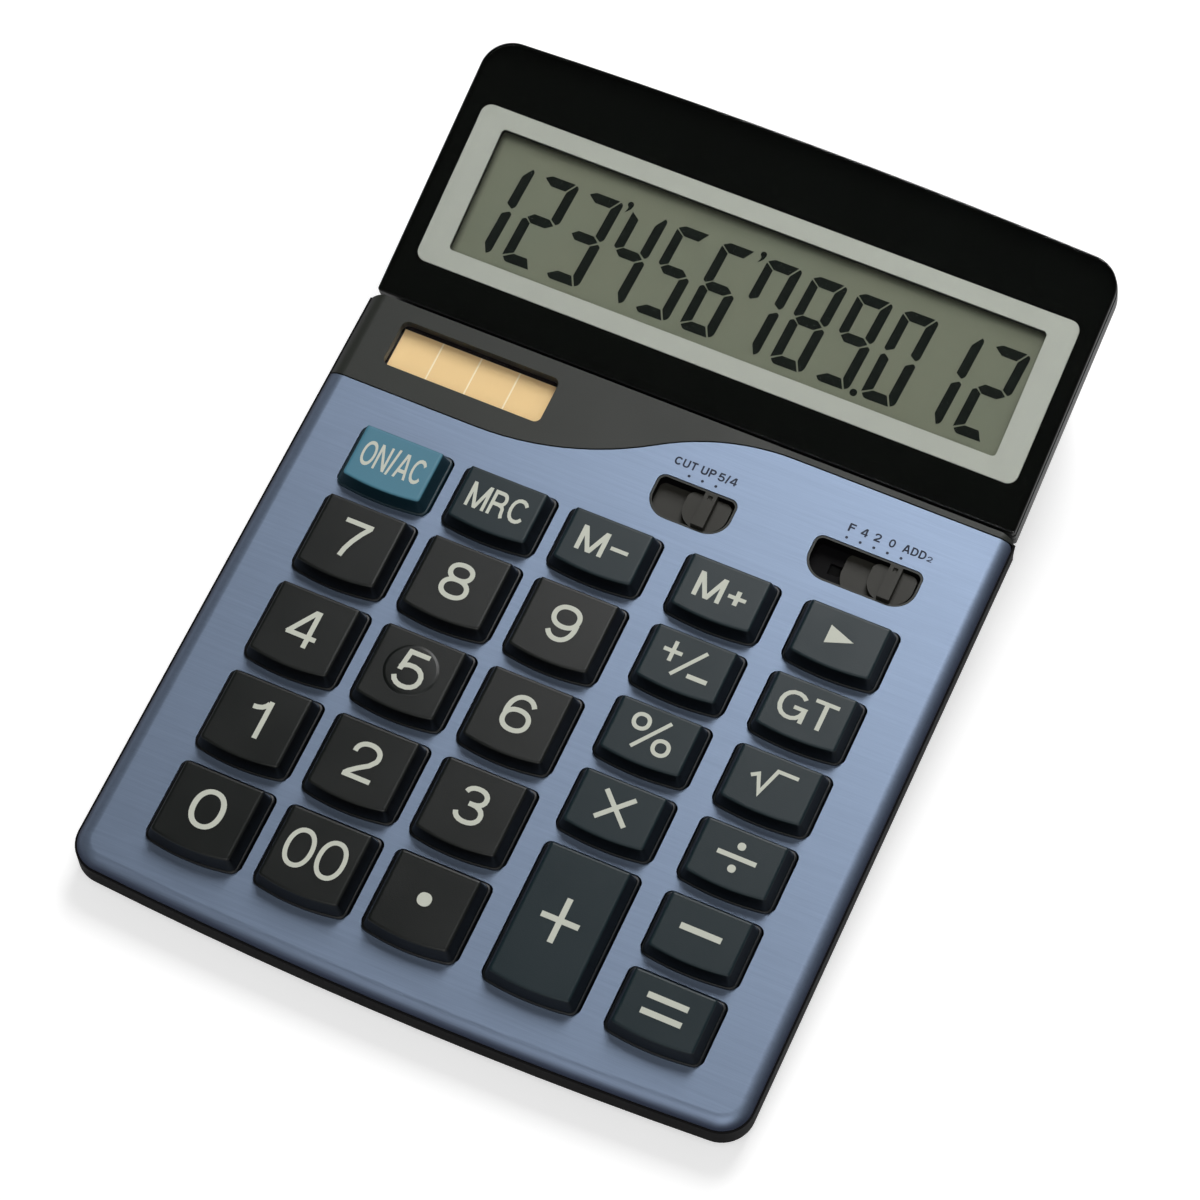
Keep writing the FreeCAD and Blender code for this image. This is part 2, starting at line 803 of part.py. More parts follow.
def slider_wiper(window, tail):
    """Sprung contact under a switch's leg, with two arms down to the board."""
    pad_left, pad_right = slider_places(window, tail)[:2]
    middle = (pad_left + pad_right) / 2
    leg_y = (window_front + window_rear) / 2
    plate_bottom = -housing_top_depth - slider_gap - slider_thickness
    top = plate_bottom - plate_seat_gap - tray_floor - leg_below_tray
    bottom = top - wiper_thickness
    base = block(middle - leg_size, middle + leg_size, leg_y - wiper_width / 2, leg_y + wiper_width / 2,
                 bottom, top)
    tip = board_top + wiper_board_gap + wiper_thickness
    arms = []
    for y in (leg_y - wiper_width / 2, leg_y + wiper_width / 2 - wiper_arm_width):
        start = middle + leg_size
        end = start + wiper_reach
        corners = [V(start, y, top), V(end, y, tip), V(end, y, tip - wiper_thickness), V(start, y, bottom)]
        face = Part.Face(Part.makePolygon(corners + corners[:1]))
        arms.append(face.extrude(V(0, wiper_arm_width, 0)))
    return joined([base] + arms)


def solar_window():
    """Clear cover that lies over the solar cell."""
    cover = dict(solar_opening, inset=-solar_ledge + solar_seat_gap)
    top = -solar_cover_depth - solar_seat_gap
    return prism(top - solar_cover_thickness, top, **cover)


def solar_cell():
    cell = dict(solar_opening, inset=-solar_ledge + solar_seat_gap)
    top = -solar_cover_depth - 2 * solar_seat_gap - solar_cover_thickness
    return prism(top - solar_cell_thickness, top, **cell)


def above_table(height):
    """Everything above a height over the table."""
    return block(-body_width, body_width, -body_width, 2 * body_width, height, body_width)


def floor_level(y, height):
    """Depth below the plate, in the deck frame, of a height over the table at a place y."""
    slope = math.radians(body_slope)
    return (height - front_height - y * math.sin(slope)) / math.cos(slope)


def platform_shape(inset):
    return dict(left=-platform_half_width, right=platform_half_width, front=-platform_rear,
                rear=-seam_y + lower_inset + cradle_radius, front_round=platform_corner,
                rear_round=sharp, inset=inset, turned=True)


def bay_box(margin, z0, z1, extra=0.0):
    """Box round the battery, with a margin at its sides and an extra length fore and aft."""
    half_x = battery_radius + margin
    half_y = half_x + extra
    return block(battery_x - half_x, battery_x + half_x, battery_y - half_y, battery_y + half_y, z0, z1)


ledge_height = foot_height + door_thickness + door_seat_gap
battery_bottom = foot_height + door_thickness + battery_door_gap
battery_top = battery_bottom + battery_thickness
bay_ceiling = battery_top + contact_thickness + 2 * contact_gap
bay_margin = battery_side_gap
door_margin = battery_side_gap + door_ledge


def lower_housing():
    """Base shell with the platform under the head, the cradle, ears, posts and battery bay."""
    deepest = -body_width / 2
    main = prism(deepest, -band_depth, **dict(body_shape(0.0), inset=lower_inset,
                                              rear=hinge_y + lower_inset))
    platform = prism(deepest, -platform_drop, **platform_shape(0.0))
    locating = prism(-band_depth, -band_depth + locating_rise,
                     **body_shape(housing_wall + locating_gap, shell_rear_y - locating_gap))
    outer = on_table(joined([main, platform, locating])).common(above_table(foot_height))
    bottom_edges = [e for e in outer.Edges if abs(e.BoundBox.ZMax - foot_height) < 0.001]
    outer = outer.makeFillet(bottom_round, bottom_edges)

    inner_inset = lower_inset + lower_wall
    main_space = prism(deepest, 0.0, **dict(body_shape(0.0), inset=inner_inset,
                                            rear=hinge_y + lower_inset))
    platform_space = prism(deepest, -platform_drop - lower_wall, **platform_shape(lower_wall))
    cradle_outside = crosswise_cylinder(-body_width, body_width, hinge_y, -hinge_drop,
                                        cradle_radius + cradle_wall)
    space = joined([main_space, platform_space]).cut(cradle_outside)
    space = on_table(space).common(above_table(foot_height + lower_wall))
    shell = outer.cut(space)

    cradle = crosswise_cylinder(-body_width, body_width, hinge_y, -hinge_drop, cradle_radius)
    shell = shell.cut(on_table(cradle))

    added = []
    removed = []
    ear_left = ear_middle_x - ear_thickness / 2
    ear_right = ear_middle_x + ear_thickness / 2
    disc = crosswise_cylinder(ear_left, ear_right, hinge_y, -hinge_drop, ear_radius)
    neck = block(ear_left, ear_right, hinge_y - ear_neck / 2, hinge_y + ear_neck / 2,
                 -hinge_drop - cradle_radius - cradle_wall / 2, -hinge_drop)
    ear = joined([disc, neck])
    bore = crosswise_cylinder(ear_left, ear_right, hinge_y, -hinge_drop, pin_radius + pin_running_gap)
    added += [on_table(s) for s in both_sides(ear)]
    removed += [on_table(s) for s in both_sides(bore)]

    for x, y in post_places(base_post_rows):
        bottom = floor_level(y, foot_height)
        seat = bottom + screw_seat_height
        post = upright_cylinder(x, y, bottom - lower_wall, -post_meeting_depth, lower_post_radius)
        added.append(on_table(post).common(above_table(foot_height)))
        shank_hole = upright_cylinder(x, y, seat, -post_meeting_depth, thread_radius + head_hole_gap)
        head_hole = upright_cylinder(x, y, bottom - lower_wall, seat, screw_head_radius + head_hole_gap)
        removed += [on_table(shank_hole), on_table(head_hole)]

    added.append(bay_box(door_margin + lower_wall, foot_height, bay_ceiling + bay_roof, door_extra_length))
    removed.append(bay_box(door_margin, foot_height, ledge_height, door_extra_length))
    removed.append(bay_box(bay_margin, ledge_height, bay_ceiling, door_leg_thickness + door_gap))
    removed += contact_slots()
    slot_half = ribbon_half_width + ribbon_slot_gap
    ribbon_slot = block(-slot_half, slot_half, hinge_y - ribbon_slot_gap, hinge_y + ribbon_slot_gap,
                        -hinge_drop - cradle_radius - 2 * cradle_wall, -hinge_drop - cradle_radius / 2)
    removed.append(on_table(ribbon_slot))
    return joined([shell] + added).cut(removed)


def minus_tab():
    """Place along X and Y of the negative contact's tab through the bay's roof."""
    return battery_x, battery_y + battery_radius / 2


def plus_tab():
    return battery_x - battery_radius - battery_side_gap, battery_y


def contact_slots():
    """Slots in the bay's roof for the tabs of the two battery contacts."""
    slots = []
    x, y = minus_tab()
    top = bay_ceiling + bay_roof
    slots.append(block(x - contact_width / 2 - contact_gap, x + contact_width / 2 + contact_gap,
                       y - contact_gap, y + contact_thickness + contact_gap, bay_ceiling, top))
    x, y = plus_tab()
    slots.append(block(x - contact_gap, x + contact_thickness + contact_gap,
                       y - contact_width / 2 - contact_gap, y + contact_width / 2 + contact_gap,
                       bay_ceiling, top))
    return slots


def battery_contact_minus():
    """Leaf under the bay's roof, with a dimple on the battery and a tab through the roof."""
    x, y = minus_tab()
    top = bay_ceiling - contact_gap
    bottom = top - contact_thickness
    leaf = block(x - contact_width / 2, x + contact_width / 2, battery_y - battery_radius / 2,
                 y + contact_thickness, bottom, top)
    tab = block(x - contact_width / 2, x + contact_width / 2, y, y + contact_thickness, bottom,
                bay_ceiling + bay_roof + contact_tab_rise)
    return joined([leaf, tab])


def battery_contact_plus():
    """Leaf beside the battery's rim, with a tab through the roof."""
    x, y = plus_tab()
    x += contact_gap
    return block(x, x + contact_thickness, y - contact_width / 2, y + contact_width / 2,
                 battery_bottom, bay_ceiling + bay_roof + contact_tab_rise)


def battery():
    """Coin cell with its smaller negative cap upwards."""
    can = upright_cylinder(battery_x, battery_y, battery_bottom, battery_top - battery_step, battery_radius)
    cap = upright_cylinder(battery_x, battery_y, battery_top - battery_step, battery_top,
                           battery_radius - battery_cap_inset)
    return can.fuse(cap).removeSplitter()


def battery_door():
    """Door plate with two snap legs and a thumbnail grip."""
    margin = door_margin - door_gap
    top = foot_height + door_thickness
    plate = bay_box(margin, foot_height, top, door_extra_length)
    legs = []
    near = battery_radius + bay_margin + door_gap / 2
    for side in (-1, 1):
        y0 = battery_y + side * near
        y1 = y0 + side * door_leg_thickness
        legs.append(block(battery_x - door_leg_width / 2, battery_x + door_leg_width / 2,
                          min(y0, y1), max(y0, y1), top, top + door_leg_height))
    grip_y = battery_y - battery_radius - door_margin
    grip = upright_cylinder(battery_x, grip_y, foot_height, foot_height + grip_depth, grip_radius)
    return joined([plate] + legs).cut(grip)


def lead(points):
    """Round wire along straight runs joined by tangent arcs."""
    edges = []
    start = points[0]
    for before, corner, after in zip(points, points[1:], points[2:]):
        into = (corner - before).normalize()
        out = (after - corner).normalize()
        turn = math.acos(max(-1.0, min(1.0, into.dot(out))))
        shorter = min(before.distanceToPoint(corner), corner.distanceToPoint(after))
        reach = 0.45 * shorter
        arc_start = corner - into * reach
        arc_end = corner + out * reach
        radius = reach / math.tan(turn / 2)
        inward = (out - into).normalize()
        centre_distance = radius / math.cos(turn / 2)
        arc_middle = corner + inward * (centre_distance - radius)
        edges.append(Part.LineSegment(start, arc_start).toShape())
        edges.append(Part.Arc(arc_start, arc_middle, arc_end).toShape())
        start = arc_end
    edges.append(Part.LineSegment(start, points[-1]).toShape())
    path = Part.Wire(edges)
    direction = (points[1] - points[0]).normalize()
    circle = Part.Wire(Part.makeCircle(lead_radius, points[0], direction))
    return path.makePipeShell([circle], True, False)


def board_height(y):
    """Height over the table of the board's underside at a place y of the table frame."""
    slope = math.radians(body_slope)
    along = (y + board_bottom * math.sin(slope)) / math.cos(slope)
    return front_height + along * math.sin(slope) + board_bottom * math.cos(slope)


def power_leads():
    """Solar leads straight down to the board, and battery leads curving up to it."""
    cover_bottom = -solar_cover_depth - 2 * solar_seat_gap - solar_cover_thickness
    cell_bottom = cover_bottom - solar_cell_thickness
    solar_y = solar_rear - solar_depth / 2
    leads = []
    for x in (solar_left + solar_lead_inset, solar_left + solar_length - solar_lead_inset):
        leads.append(on_table(upright_cylinder(x, solar_y, board_top, cell_bottom, lead_radius)))
    tab_top = bay_ceiling + bay_roof + contact_tab_rise
    for (x, y), forward in ((minus_tab(), minus_lead_run), (plus_tab(), plus_lead_run)):
        board_y = y - forward
        board_under = board_height(board_y) - lead_end_gap
        start = V(x, y, tab_top)
        end = V(x, board_y, board_under)
        bend_low = V(x, y, tab_top + lead_rise)
        bend_high = V(x, board_y, board_under - lead_rise)
        leads.append(lead([start, bend_low, bend_high, end]))
    return leads


def base_screws():
    """Screws from below, through the lower posts into the upper ones."""
    screws = []
    for x, y in post_places(base_post_rows):
        seat = floor_level(y, foot_height) + screw_seat_height
        screws.append(on_table(screw_up(x, y, seat, -post_meeting_depth + thread_bite)))
    return screws


def rubber_feet():
    places = [(x, y) for x in (-foot_x, foot_x) for y in (front_foot_y, rear_foot_y)]
    return [upright_cylinder(x, y, 0.0, foot_height, foot_radius) for x, y in places]


def display_outline(half_width, front, rear, corner, inset=0.0):
    return dict(left=-half_width, right=half_width, front=front, rear=rear, inset=inset,
                front_round=corner, rear_round=corner)


def display_lens():
    """Clear face of the head, with a small chamfer round its top edge."""
    lens = prism(lens_bottom, face_rise, **head_shape(lens_inset, 0.0))
    top_edges = [e for e in lens.Edges if e.BoundBox.ZMin > face_rise - 0.001]
    return lens.makeChamfer(lens_chamfer, top_edges)


def case_posts():
    places = ((half_head - front_case_post_side, front_case_post_y),
              (half_head - rear_case_post_side, head_top - rear_case_post_back))
    return [(side * x, y) for x, y in places for side in (-1, 1)]


def display_posts():
    front = display_front - glass_margin - display_post_margin - small_screw_gap
    rear = display_rear + glass_margin + display_post_margin + small_screw_gap
    return [(x, y) for x in (-display_post_x, display_post_x) for y in (front, rear)]


def head_front_case():
    """Black front shell of the head, with the display opening, tongue and posts."""
    face = prism(front_case_under, front_case_face, **head_shape(0.0))
    skirt = prism(case_parting, front_case_face, **head_shape(0.0))
    skirt = skirt.cut(prism(case_parting, front_case_face, **head_shape(front_case_side)))
    tongue_inset = back_case_wall + tongue_gap
    tongue = prism(case_parting - tongue_depth, front_case_under, **head_shape(tongue_inset))
    tongue = tongue.cut(prism(case_parting - tongue_depth, front_case_under,
                              **head_shape(tongue_inset + tongue_wall)))
    clear_of_hinge = ear_radius + back_case_wall
    tongue = tongue.cut(block(-half_body, half_body, -head_top, clear_of_hinge, -1.0, case_parting * 2))
    posts = []
    holes = []
    for x, y in case_posts():
        posts.append(upright_cylinder(x, y, -case_post_meeting, front_case_under, case_post_radius))
        holes.append(upright_cylinder(x, y, -case_post_meeting, front_case_under,
                                      thread_radius + thread_gap))
    for x, y in display_posts():
        posts.append(upright_cylinder(x, y, display_board_top, front_case_under, display_post_radius))
        holes.append(upright_cylinder(x, y, display_board_top, front_case_under, small_thread + thread_gap))
    case = joined([face, skirt, tongue] + posts)
    recess = display_outline(trim_half_width, trim_front, trim_rear, trim_corner, -trim_gap)
    holes.append(prism(front_case_face - trim_thickness, front_case_face, **recess))
    opening = display_outline(display_half_width, display_front, display_rear, display_corner)
    holes.append(prism(front_case_under, front_case_face, **opening))
    return case.cut(holes)


def display_trim_frame():
    """Thin silver frame that lies in a recess round the display."""
    bottom = front_case_face - trim_thickness
    plate = prism(bottom, front_case_face,
                  **display_outline(trim_half_width, trim_front, trim_rear, trim_corner))
    return plate.cut(prism(bottom, front_case_face,
                           **display_outline(display_half_width, display_front, display_rear,
                                             display_corner)))


def lcd_glass():
    shape = display_outline(display_half_width, display_front, display_rear, sharp, -glass_margin)
    return prism(glass_bottom, glass_top, **shape)


def lcd_connectors():
    """Rubber connector strips between the glass and the display board."""
    half = display_half_width - connector_inset
    front = display_front - glass_margin + connector_inset
    rear = display_rear + glass_margin - connector_inset
    return [block(-half, half, y, y + connector_width, display_board_top, glass_bottom)
            for y in (front, rear - connector_width)]


def display_board():
    board = block(-display_board_half_width, display_board_half_width, display_board_front,
                  display_board_rear, display_board_bottom, display_board_top)
    notch = case_post_radius + post_notch_gap
    hole = small_thread + head_hole_gap
    cuts = [upright_cylinder(x, y, display_board_bottom, display_board_top, notch)
            for x, y in case_posts()]
    cuts += [upright_cylinder(x, y, display_board_bottom, display_board_top, hole)
             for x, y in display_posts()]
    return board.cut(cuts)


def display_board_screws():
    return [screw_up(x, y, display_board_bottom, front_case_under - trim_thickness, small_thread,
                     small_head_radius, small_head_height) for x, y in display_posts()]


def head_back_case():
    """Back shell of the head: rim, tapered back, hinge bosses, screw tubes and slots."""
    rim_bottom = case_parting - back_rim_depth
    rim = prism(rim_bottom, case_parting, **head_shape(0.0))
    back = tapered(-back_depth, rim_bottom, head_shape(back_taper, 0.0), head_shape(0.0))
    floor = -back_depth + back_case_wall
    rim_space = prism(rim_bottom, case_parting, **head_shape(back_case_wall))
    back_space = tapered(floor, rim_bottom, head_shape(back_taper + back_case_wall / 2, back_case_wall),
                         head_shape(back_case_wall))
    shell = joined([rim, back]).cut(rim_space).cut(back_space)

    added = []
    removed = []
    inner_face = ear_middle_x - ear_thickness / 2 - washer_thickness - 2 * washer_gap
    outer_face = ear_middle_x + ear_thickness / 2 + washer_thickness + 2 * washer_gap
    for left in (inner_face - boss_length, outer_face):
        disc = crosswise_cylinder(left, left + boss_length, 0, 0, boss_radius)
        wall = block(left, left + boss_length, -boss_radius, boss_radius, floor, 0)
        added += both_sides(disc)
        added += both_sides(wall)
        bore = crosswise_cylinder(left, left + boss_length, 0, 0, pin_radius + pin_press_gap)
        removed += both_sides(bore)
    slot_left = ear_middle_x - ear_thickness / 2 - ear_slot_gap
    slot_right = ear_middle_x + ear_thickness / 2 + ear_slot_gap
    removed += both_sides(neck_slot(slot_left, slot_right))
    ribbon_half = ribbon_half_width + ribbon_slot_gap
    removed.append(neck_slot(-ribbon_half, ribbon_half))

    for x, y in case_posts():
        added.append(upright_cylinder(x, y, floor - back_case_wall / 2, -case_post_meeting,
                                      case_post_radius))
        removed.append(upright_cylinder(x, y, floor - back_case_wall, -case_post_meeting,
                                        thread_radius + head_hole_gap))
        removed.append(upright_cylinder(x, y, -back_depth, case_screw_seat,
                                        screw_head_radius + head_hole_gap))
    return joined([shell] + added).cut(removed)


def neck_slot(left, right):
    """Slot in the head's lower front corner, where an ear or the ribbon comes in."""
    half_neck = ear_neck / 2 + 2 * ear_slot_gap
    return block(left, right, head_front - 1.0, half_neck, -back_depth - 1.0, ear_slot_top)


def head_case_screws():
    return [screw_up(x, y, case_screw_seat, -case_post_meeting + case_screw_bite) for x, y in case_posts()]


def hinge_pins():
    reach = ear_thickness / 2 + washer_thickness + 2 * washer_gap + boss_length
    return both_sides(crosswise_cylinder(ear_middle_x - reach, ear_middle_x + reach, 0, 0, pin_radius))


def hinge_washers():
    """Friction washers on both sides of each ear."""
    washers = []
    inner = ear_middle_x - ear_thickness / 2 - washer_gap - washer_thickness
    outer = ear_middle_x + ear_thickness / 2 + washer_gap
    for left in (inner, outer):
        disc = crosswise_cylinder(left, left + washer_thickness, 0, 0, washer_radius)
        bore = crosswise_cylinder(left, left + washer_thickness, 0, 0, pin_radius + pin_press_gap)
        washers += both_sides(disc.cut(bore))
    return washers


def ribbon(points):
    """Flat ribbon of even thickness along points in the YZ plane, with rounded bends."""
    half = ribbon_thickness / 2
    spine = Part.makePolygon([V(-ribbon_half_width, y, z) for y, z in points])
    strips = []
    for edge in spine.Edges:
        a, b = edge.Vertexes[0].Point, edge.Vertexes[1].Point
        along = (b - a).normalize()
        across = V(0, -along.z, along.y) * half
        corners = [a + across, b + across, b - across, a - across]
        face = Part.Face(Part.makePolygon(corners + corners[:1]))
        strips.append(face.extrude(V(2 * ribbon_half_width, 0, 0)))
    for y, z in points[1:-1]:
        strips.append(crosswise_cylinder(-ribbon_half_width, ribbon_half_width, y, z, half))
    return joined(strips)


def display_ribbon_base():
    """Half of the ribbon in the body: from under the board, below the cradle, up to the axis."""
    start_y = board_rear - ribbon_board_overlap
    top = board_bottom - ribbon_thickness / 2
    low = -hinge_drop - cradle_radius - 2 * cradle_wall - ribbon_cradle_gap
    end = -hinge_drop - ribbon_end_gap
    points = [(start_y, top), (board_rear, top), (board_rear + ribbon_drop_run, low),
              (hinge_y, low), (hinge_y, end)]
    return ribbon(points)


def display_ribbon_head():
    """Half of the ribbon in the head: from the axis over the display board's front edge."""
    landing = display_board_front + ribbon_landing
    points = [(0, ribbon_end_gap), (0, ribbon_bend_height), (landing, ribbon_bend_height),
              (landing, display_board_top)]
    return ribbon(points)


def build_nodes():
    """Solids of each node in the table frame."""
    deck = {
        "front_plate": [front_plate()],
        "upper_housing": [upper_housing()],
        "keypad_mat": [keypad_mat()],
        "main_board": [main_board()],
        "controller_chip": [controller_chip()],
        "board_components": board_components(),
        "board_screws": board_screws(),
        "rounding_switch_knob": [slider_knob(rounding_window, rounding_tail)],
        "decimal_switch_knob": [slider_knob(decimal_window, decimal_tail)],
        "rounding_switch_wiper": [slider_wiper(rounding_window, rounding_tail)],
        "decimal_switch_wiper": [slider_wiper(decimal_window, decimal_tail)],
        "solar_window": [solar_window()],
        "solar_cell": [solar_cell()],
        "display_ribbon_base": [display_ribbon_base()],
    }
    for name, opening in keypad.items():
        deck[name] = [key_cap(opening)]
    head = {
        "display_lens": [display_lens()],
        "head_front_case": [head_front_case()],
        "display_trim_frame": [display_trim_frame()],
        "lcd_glass": [lcd_glass()],
        "lcd_connectors": lcd_connectors(),
        "display_board": [display_board()],
        "display_board_screws": display_board_screws(),
        "head_back_case": [head_back_case()],
        "head_case_screws": head_case_screws(),
        "hinge_pins": hinge_pins(),
        "hinge_washers": hinge_washers(),
        "display_ribbon_head": [display_ribbon_head()],
    }
    nodes = {
        "lower_housing": [lower_housing()],
        "battery_door": [battery_door()],
        "battery": [battery()],
        "battery_contact_plus": [battery_contact_plus()],
        "battery_contact_minus": [battery_contact_minus()],
        "power_leads": power_leads(),
        "base_screws": base_screws(),
        "rubber_feet": rubber_feet(),
    }
    for name, solids in deck.items():
        nodes[name] = [on_table(solid) for solid in solids]
    for name, solids in head.items():
        nodes[name] = [on_table(on_hinge(solid)) for solid in solids]
    return nodes


nodes = build_nodes()
whole = Part.makeCompound([solid for solids in nodes.values() for solid in solids])
box = whole.optimalBoundingBox()
centring = V(0, -(box.YMin + box.YMax) / 2, -box.ZMin)

os.makedirs("parts", exist_ok=True)
for name, solids in nodes.items():
    shapes = []
    for solid in solids:
        placed = solid.copy()
        placed.translate(centring)
        shapes += placed.Solids
    shape = shapes[0] if len(shapes) == 1 else Part.makeCompound(shapes)
    shape.exportStep("parts/" + name + ".step")
    state = "valid" if shape.isValid() else "INVALID"
    print(name, len(shapes), "solids", round(shape.Volume, 2), "mm3", state)
print("size", round(box.XLength, 2), round(box.YLength, 2), round(box.ZLength, 2), "nodes", len(nodes))
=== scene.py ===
# %% [markdown]
# # A desktop calculator with a tilting display
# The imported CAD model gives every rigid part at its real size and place. This lesson dresses
# it: a finish for each material, moulded key caps, printed legends, the display's digits, and
# then the camera and the light. Every piece rides on the CAD body that it belongs to, so the
# keys still press, the switches slide and the display tilts.

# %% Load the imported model
import math

import bmesh
import bpy
from mathutils import Matrix, Quaternion, Vector
from mathutils.geometry import delaunay_2d_cdt


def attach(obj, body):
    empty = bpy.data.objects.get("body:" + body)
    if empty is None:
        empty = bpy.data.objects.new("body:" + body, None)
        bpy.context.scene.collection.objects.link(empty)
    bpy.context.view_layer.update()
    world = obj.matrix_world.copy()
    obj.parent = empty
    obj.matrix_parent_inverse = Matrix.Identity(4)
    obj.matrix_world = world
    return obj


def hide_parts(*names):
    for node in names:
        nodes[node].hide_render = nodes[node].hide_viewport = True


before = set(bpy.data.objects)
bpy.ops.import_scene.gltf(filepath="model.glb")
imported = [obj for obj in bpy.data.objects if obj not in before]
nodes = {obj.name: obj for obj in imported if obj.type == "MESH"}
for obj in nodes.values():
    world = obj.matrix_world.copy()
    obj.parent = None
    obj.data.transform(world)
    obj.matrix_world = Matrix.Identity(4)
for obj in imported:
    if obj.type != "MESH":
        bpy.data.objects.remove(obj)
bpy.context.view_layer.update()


# %% [markdown]
# ## The camera
# The photograph was taken from above the right front corner with a long lens. The place and
# the turn were worked out from the plate's known corners, so the model fills the frame as the
# real calculator does.

# %% The camera
def in_scene(name, data):
    """A new object in the scene that holds a mesh, a curve, a lamp or a camera."""
    made = bpy.data.objects.new(name, data)
    bpy.context.scene.collection.objects.link(made)
    return made


def aimed(name, data, place, target):
    """A camera or a lamp that stands at a place and faces a target."""
    holder = in_scene(name, data)
    holder.location = place
    holder.rotation_mode = "QUATERNION"
    holder.rotation_quaternion = (Vector(target) - Vector(place)).to_track_quat("-Z", "Y")
    return holder


camera_data = bpy.data.cameras.new("camera")
camera_data.sensor_width = 36.0
camera_data.lens = 129.04
camera = aimed("camera", camera_data, (0.16639, -0.40865, 0.71845), (0.00094, -0.00644, 0.020))
bpy.context.scene.camera = camera
roll = Quaternion((0, 0, 1), math.radians(2.374))
camera.rotation_quaternion = camera.rotation_quaternion @ roll
print("camera stands", round(camera.location.length, 3), "m from the origin")

# %% [markdown]
# ## Two slanted work planes
# The key plate slopes by six degrees and the display leans a further thirteen. Drawing on the
# table's axes would be awkward, so pieces are made flat, in millimetres, and one matrix then
# lays them on the plate or on the display. The origin is the middle of the plate's front rim,
# and for the display the hinge's axis.

# %% The plate's and the display's places
millimetre = 0.001
body_slope = math.radians(6.0)
head_tilt = math.radians(13.2)
front_rim = Vector((0.0, -0.096936, 0.0104))
hinge_on_plate = Vector((0.0, 142.035, -4.87))
to_plate = Matrix.Translation(front_rim) @ Matrix.Rotation(body_slope, 4, "X")
plate_frame = to_plate @ Matrix.Scale(millimetre, 4)
head_frame = plate_frame @ Matrix.Translation(hinge_on_plate) @ Matrix.Rotation(head_tilt, 4, "X")
off_plate = plate_frame.inverted()
print("hinge axis at", [round(c, 4) for c in head_frame.translation])


def on_plate(point):
    """The matrix that lays a flat piece on the plate with its origin at a point."""
    return plate_frame @ Matrix.Translation(point)


# %% [markdown]
# ## Writing node trees as Python
# A material or a Geometry Nodes tree is easier to read as an expression than as a long list of
# links. One small class stands for a socket and turns + - * / into Math nodes. Another holds
# the tree and adds any other node: its type, its settings, and what goes into its sockets.

# %% A socket that does sums
class Value:
    """An output socket, with Python's operators as Math nodes."""

    def __init__(self, owner, socket):
        self.owner = owner
        self.socket = socket

    def maths(self, operation, *inputs):
        return self.owner.node("ShaderNodeMath", {"operation": operation}, inputs)

    def __add__(self, other):
        return self.maths("ADD", self, other)

    def __sub__(self, other):
        return self.maths("SUBTRACT", self, other)

    def __rsub__(self, other):
        return self.maths("SUBTRACT", other, self)

    def __mul__(self, other):
        return self.maths("MULTIPLY", self, other)

    def __truediv__(self, other):
        return self.maths("DIVIDE", self, other)

    def __lt__(self, other):
        return self.maths("LESS_THAN", self, other)

    __radd__ = __add__
    __rmul__ = __mul__


# %% A tree that takes any node
class Tree:
    """A node tree, and one method that adds a node of any type to it."""

    def __init__(self, tree):
        self.tree = tree

    def node(self, kind, settings=None, inputs=(), output=0):
        """Add a node. A list as an input's value makes several links to one socket."""
        made = self.tree.nodes.new(kind)
        for name, setting in (settings or {}).items():
            setattr(made, name, setting)
        pairs = inputs.items() if isinstance(inputs, dict) else enumerate(inputs)
        for key, value in pairs:
            for one in value if isinstance(value, list) else [value]:
                if isinstance(one, Value):
                    self.tree.links.new(one.socket, made.inputs[key])
                else:
                    made.inputs[key].default_value = one
        return Value(self, made.outputs[output]) if made.outputs else made

    def blended(self, share, first, second):
        inputs = {"Factor": share, 6: first, 7: second}
        return self.node("ShaderNodeMix", {"data_type": "RGBA"}, inputs, 2)


# %% [markdown]
# ## Finishes
# Nothing on the calculator is one flat colour. The plate is brushed aluminium under a blue
# anodised layer, the shells and keys are moulded plastic with a fine spark-eroded grain, the
# display is a pale grey-green film under glass. Each finish is a short recipe on Object
# coordinates, so a grain of 0.2 mm is 0.2 mm on every part, and stays put when a key moves.

# %% Colours
def paint(red, green, blue):
    """A colour as a screen shows it, made linear for the shaders."""
    channels = []
    for level in (red / 255, green / 255, blue / 255):
        channels.append(level / 12.92 if level <= 0.04045 else ((level + 0.055) / 1.055) ** 2.4)
    return (*channels, 1.0)


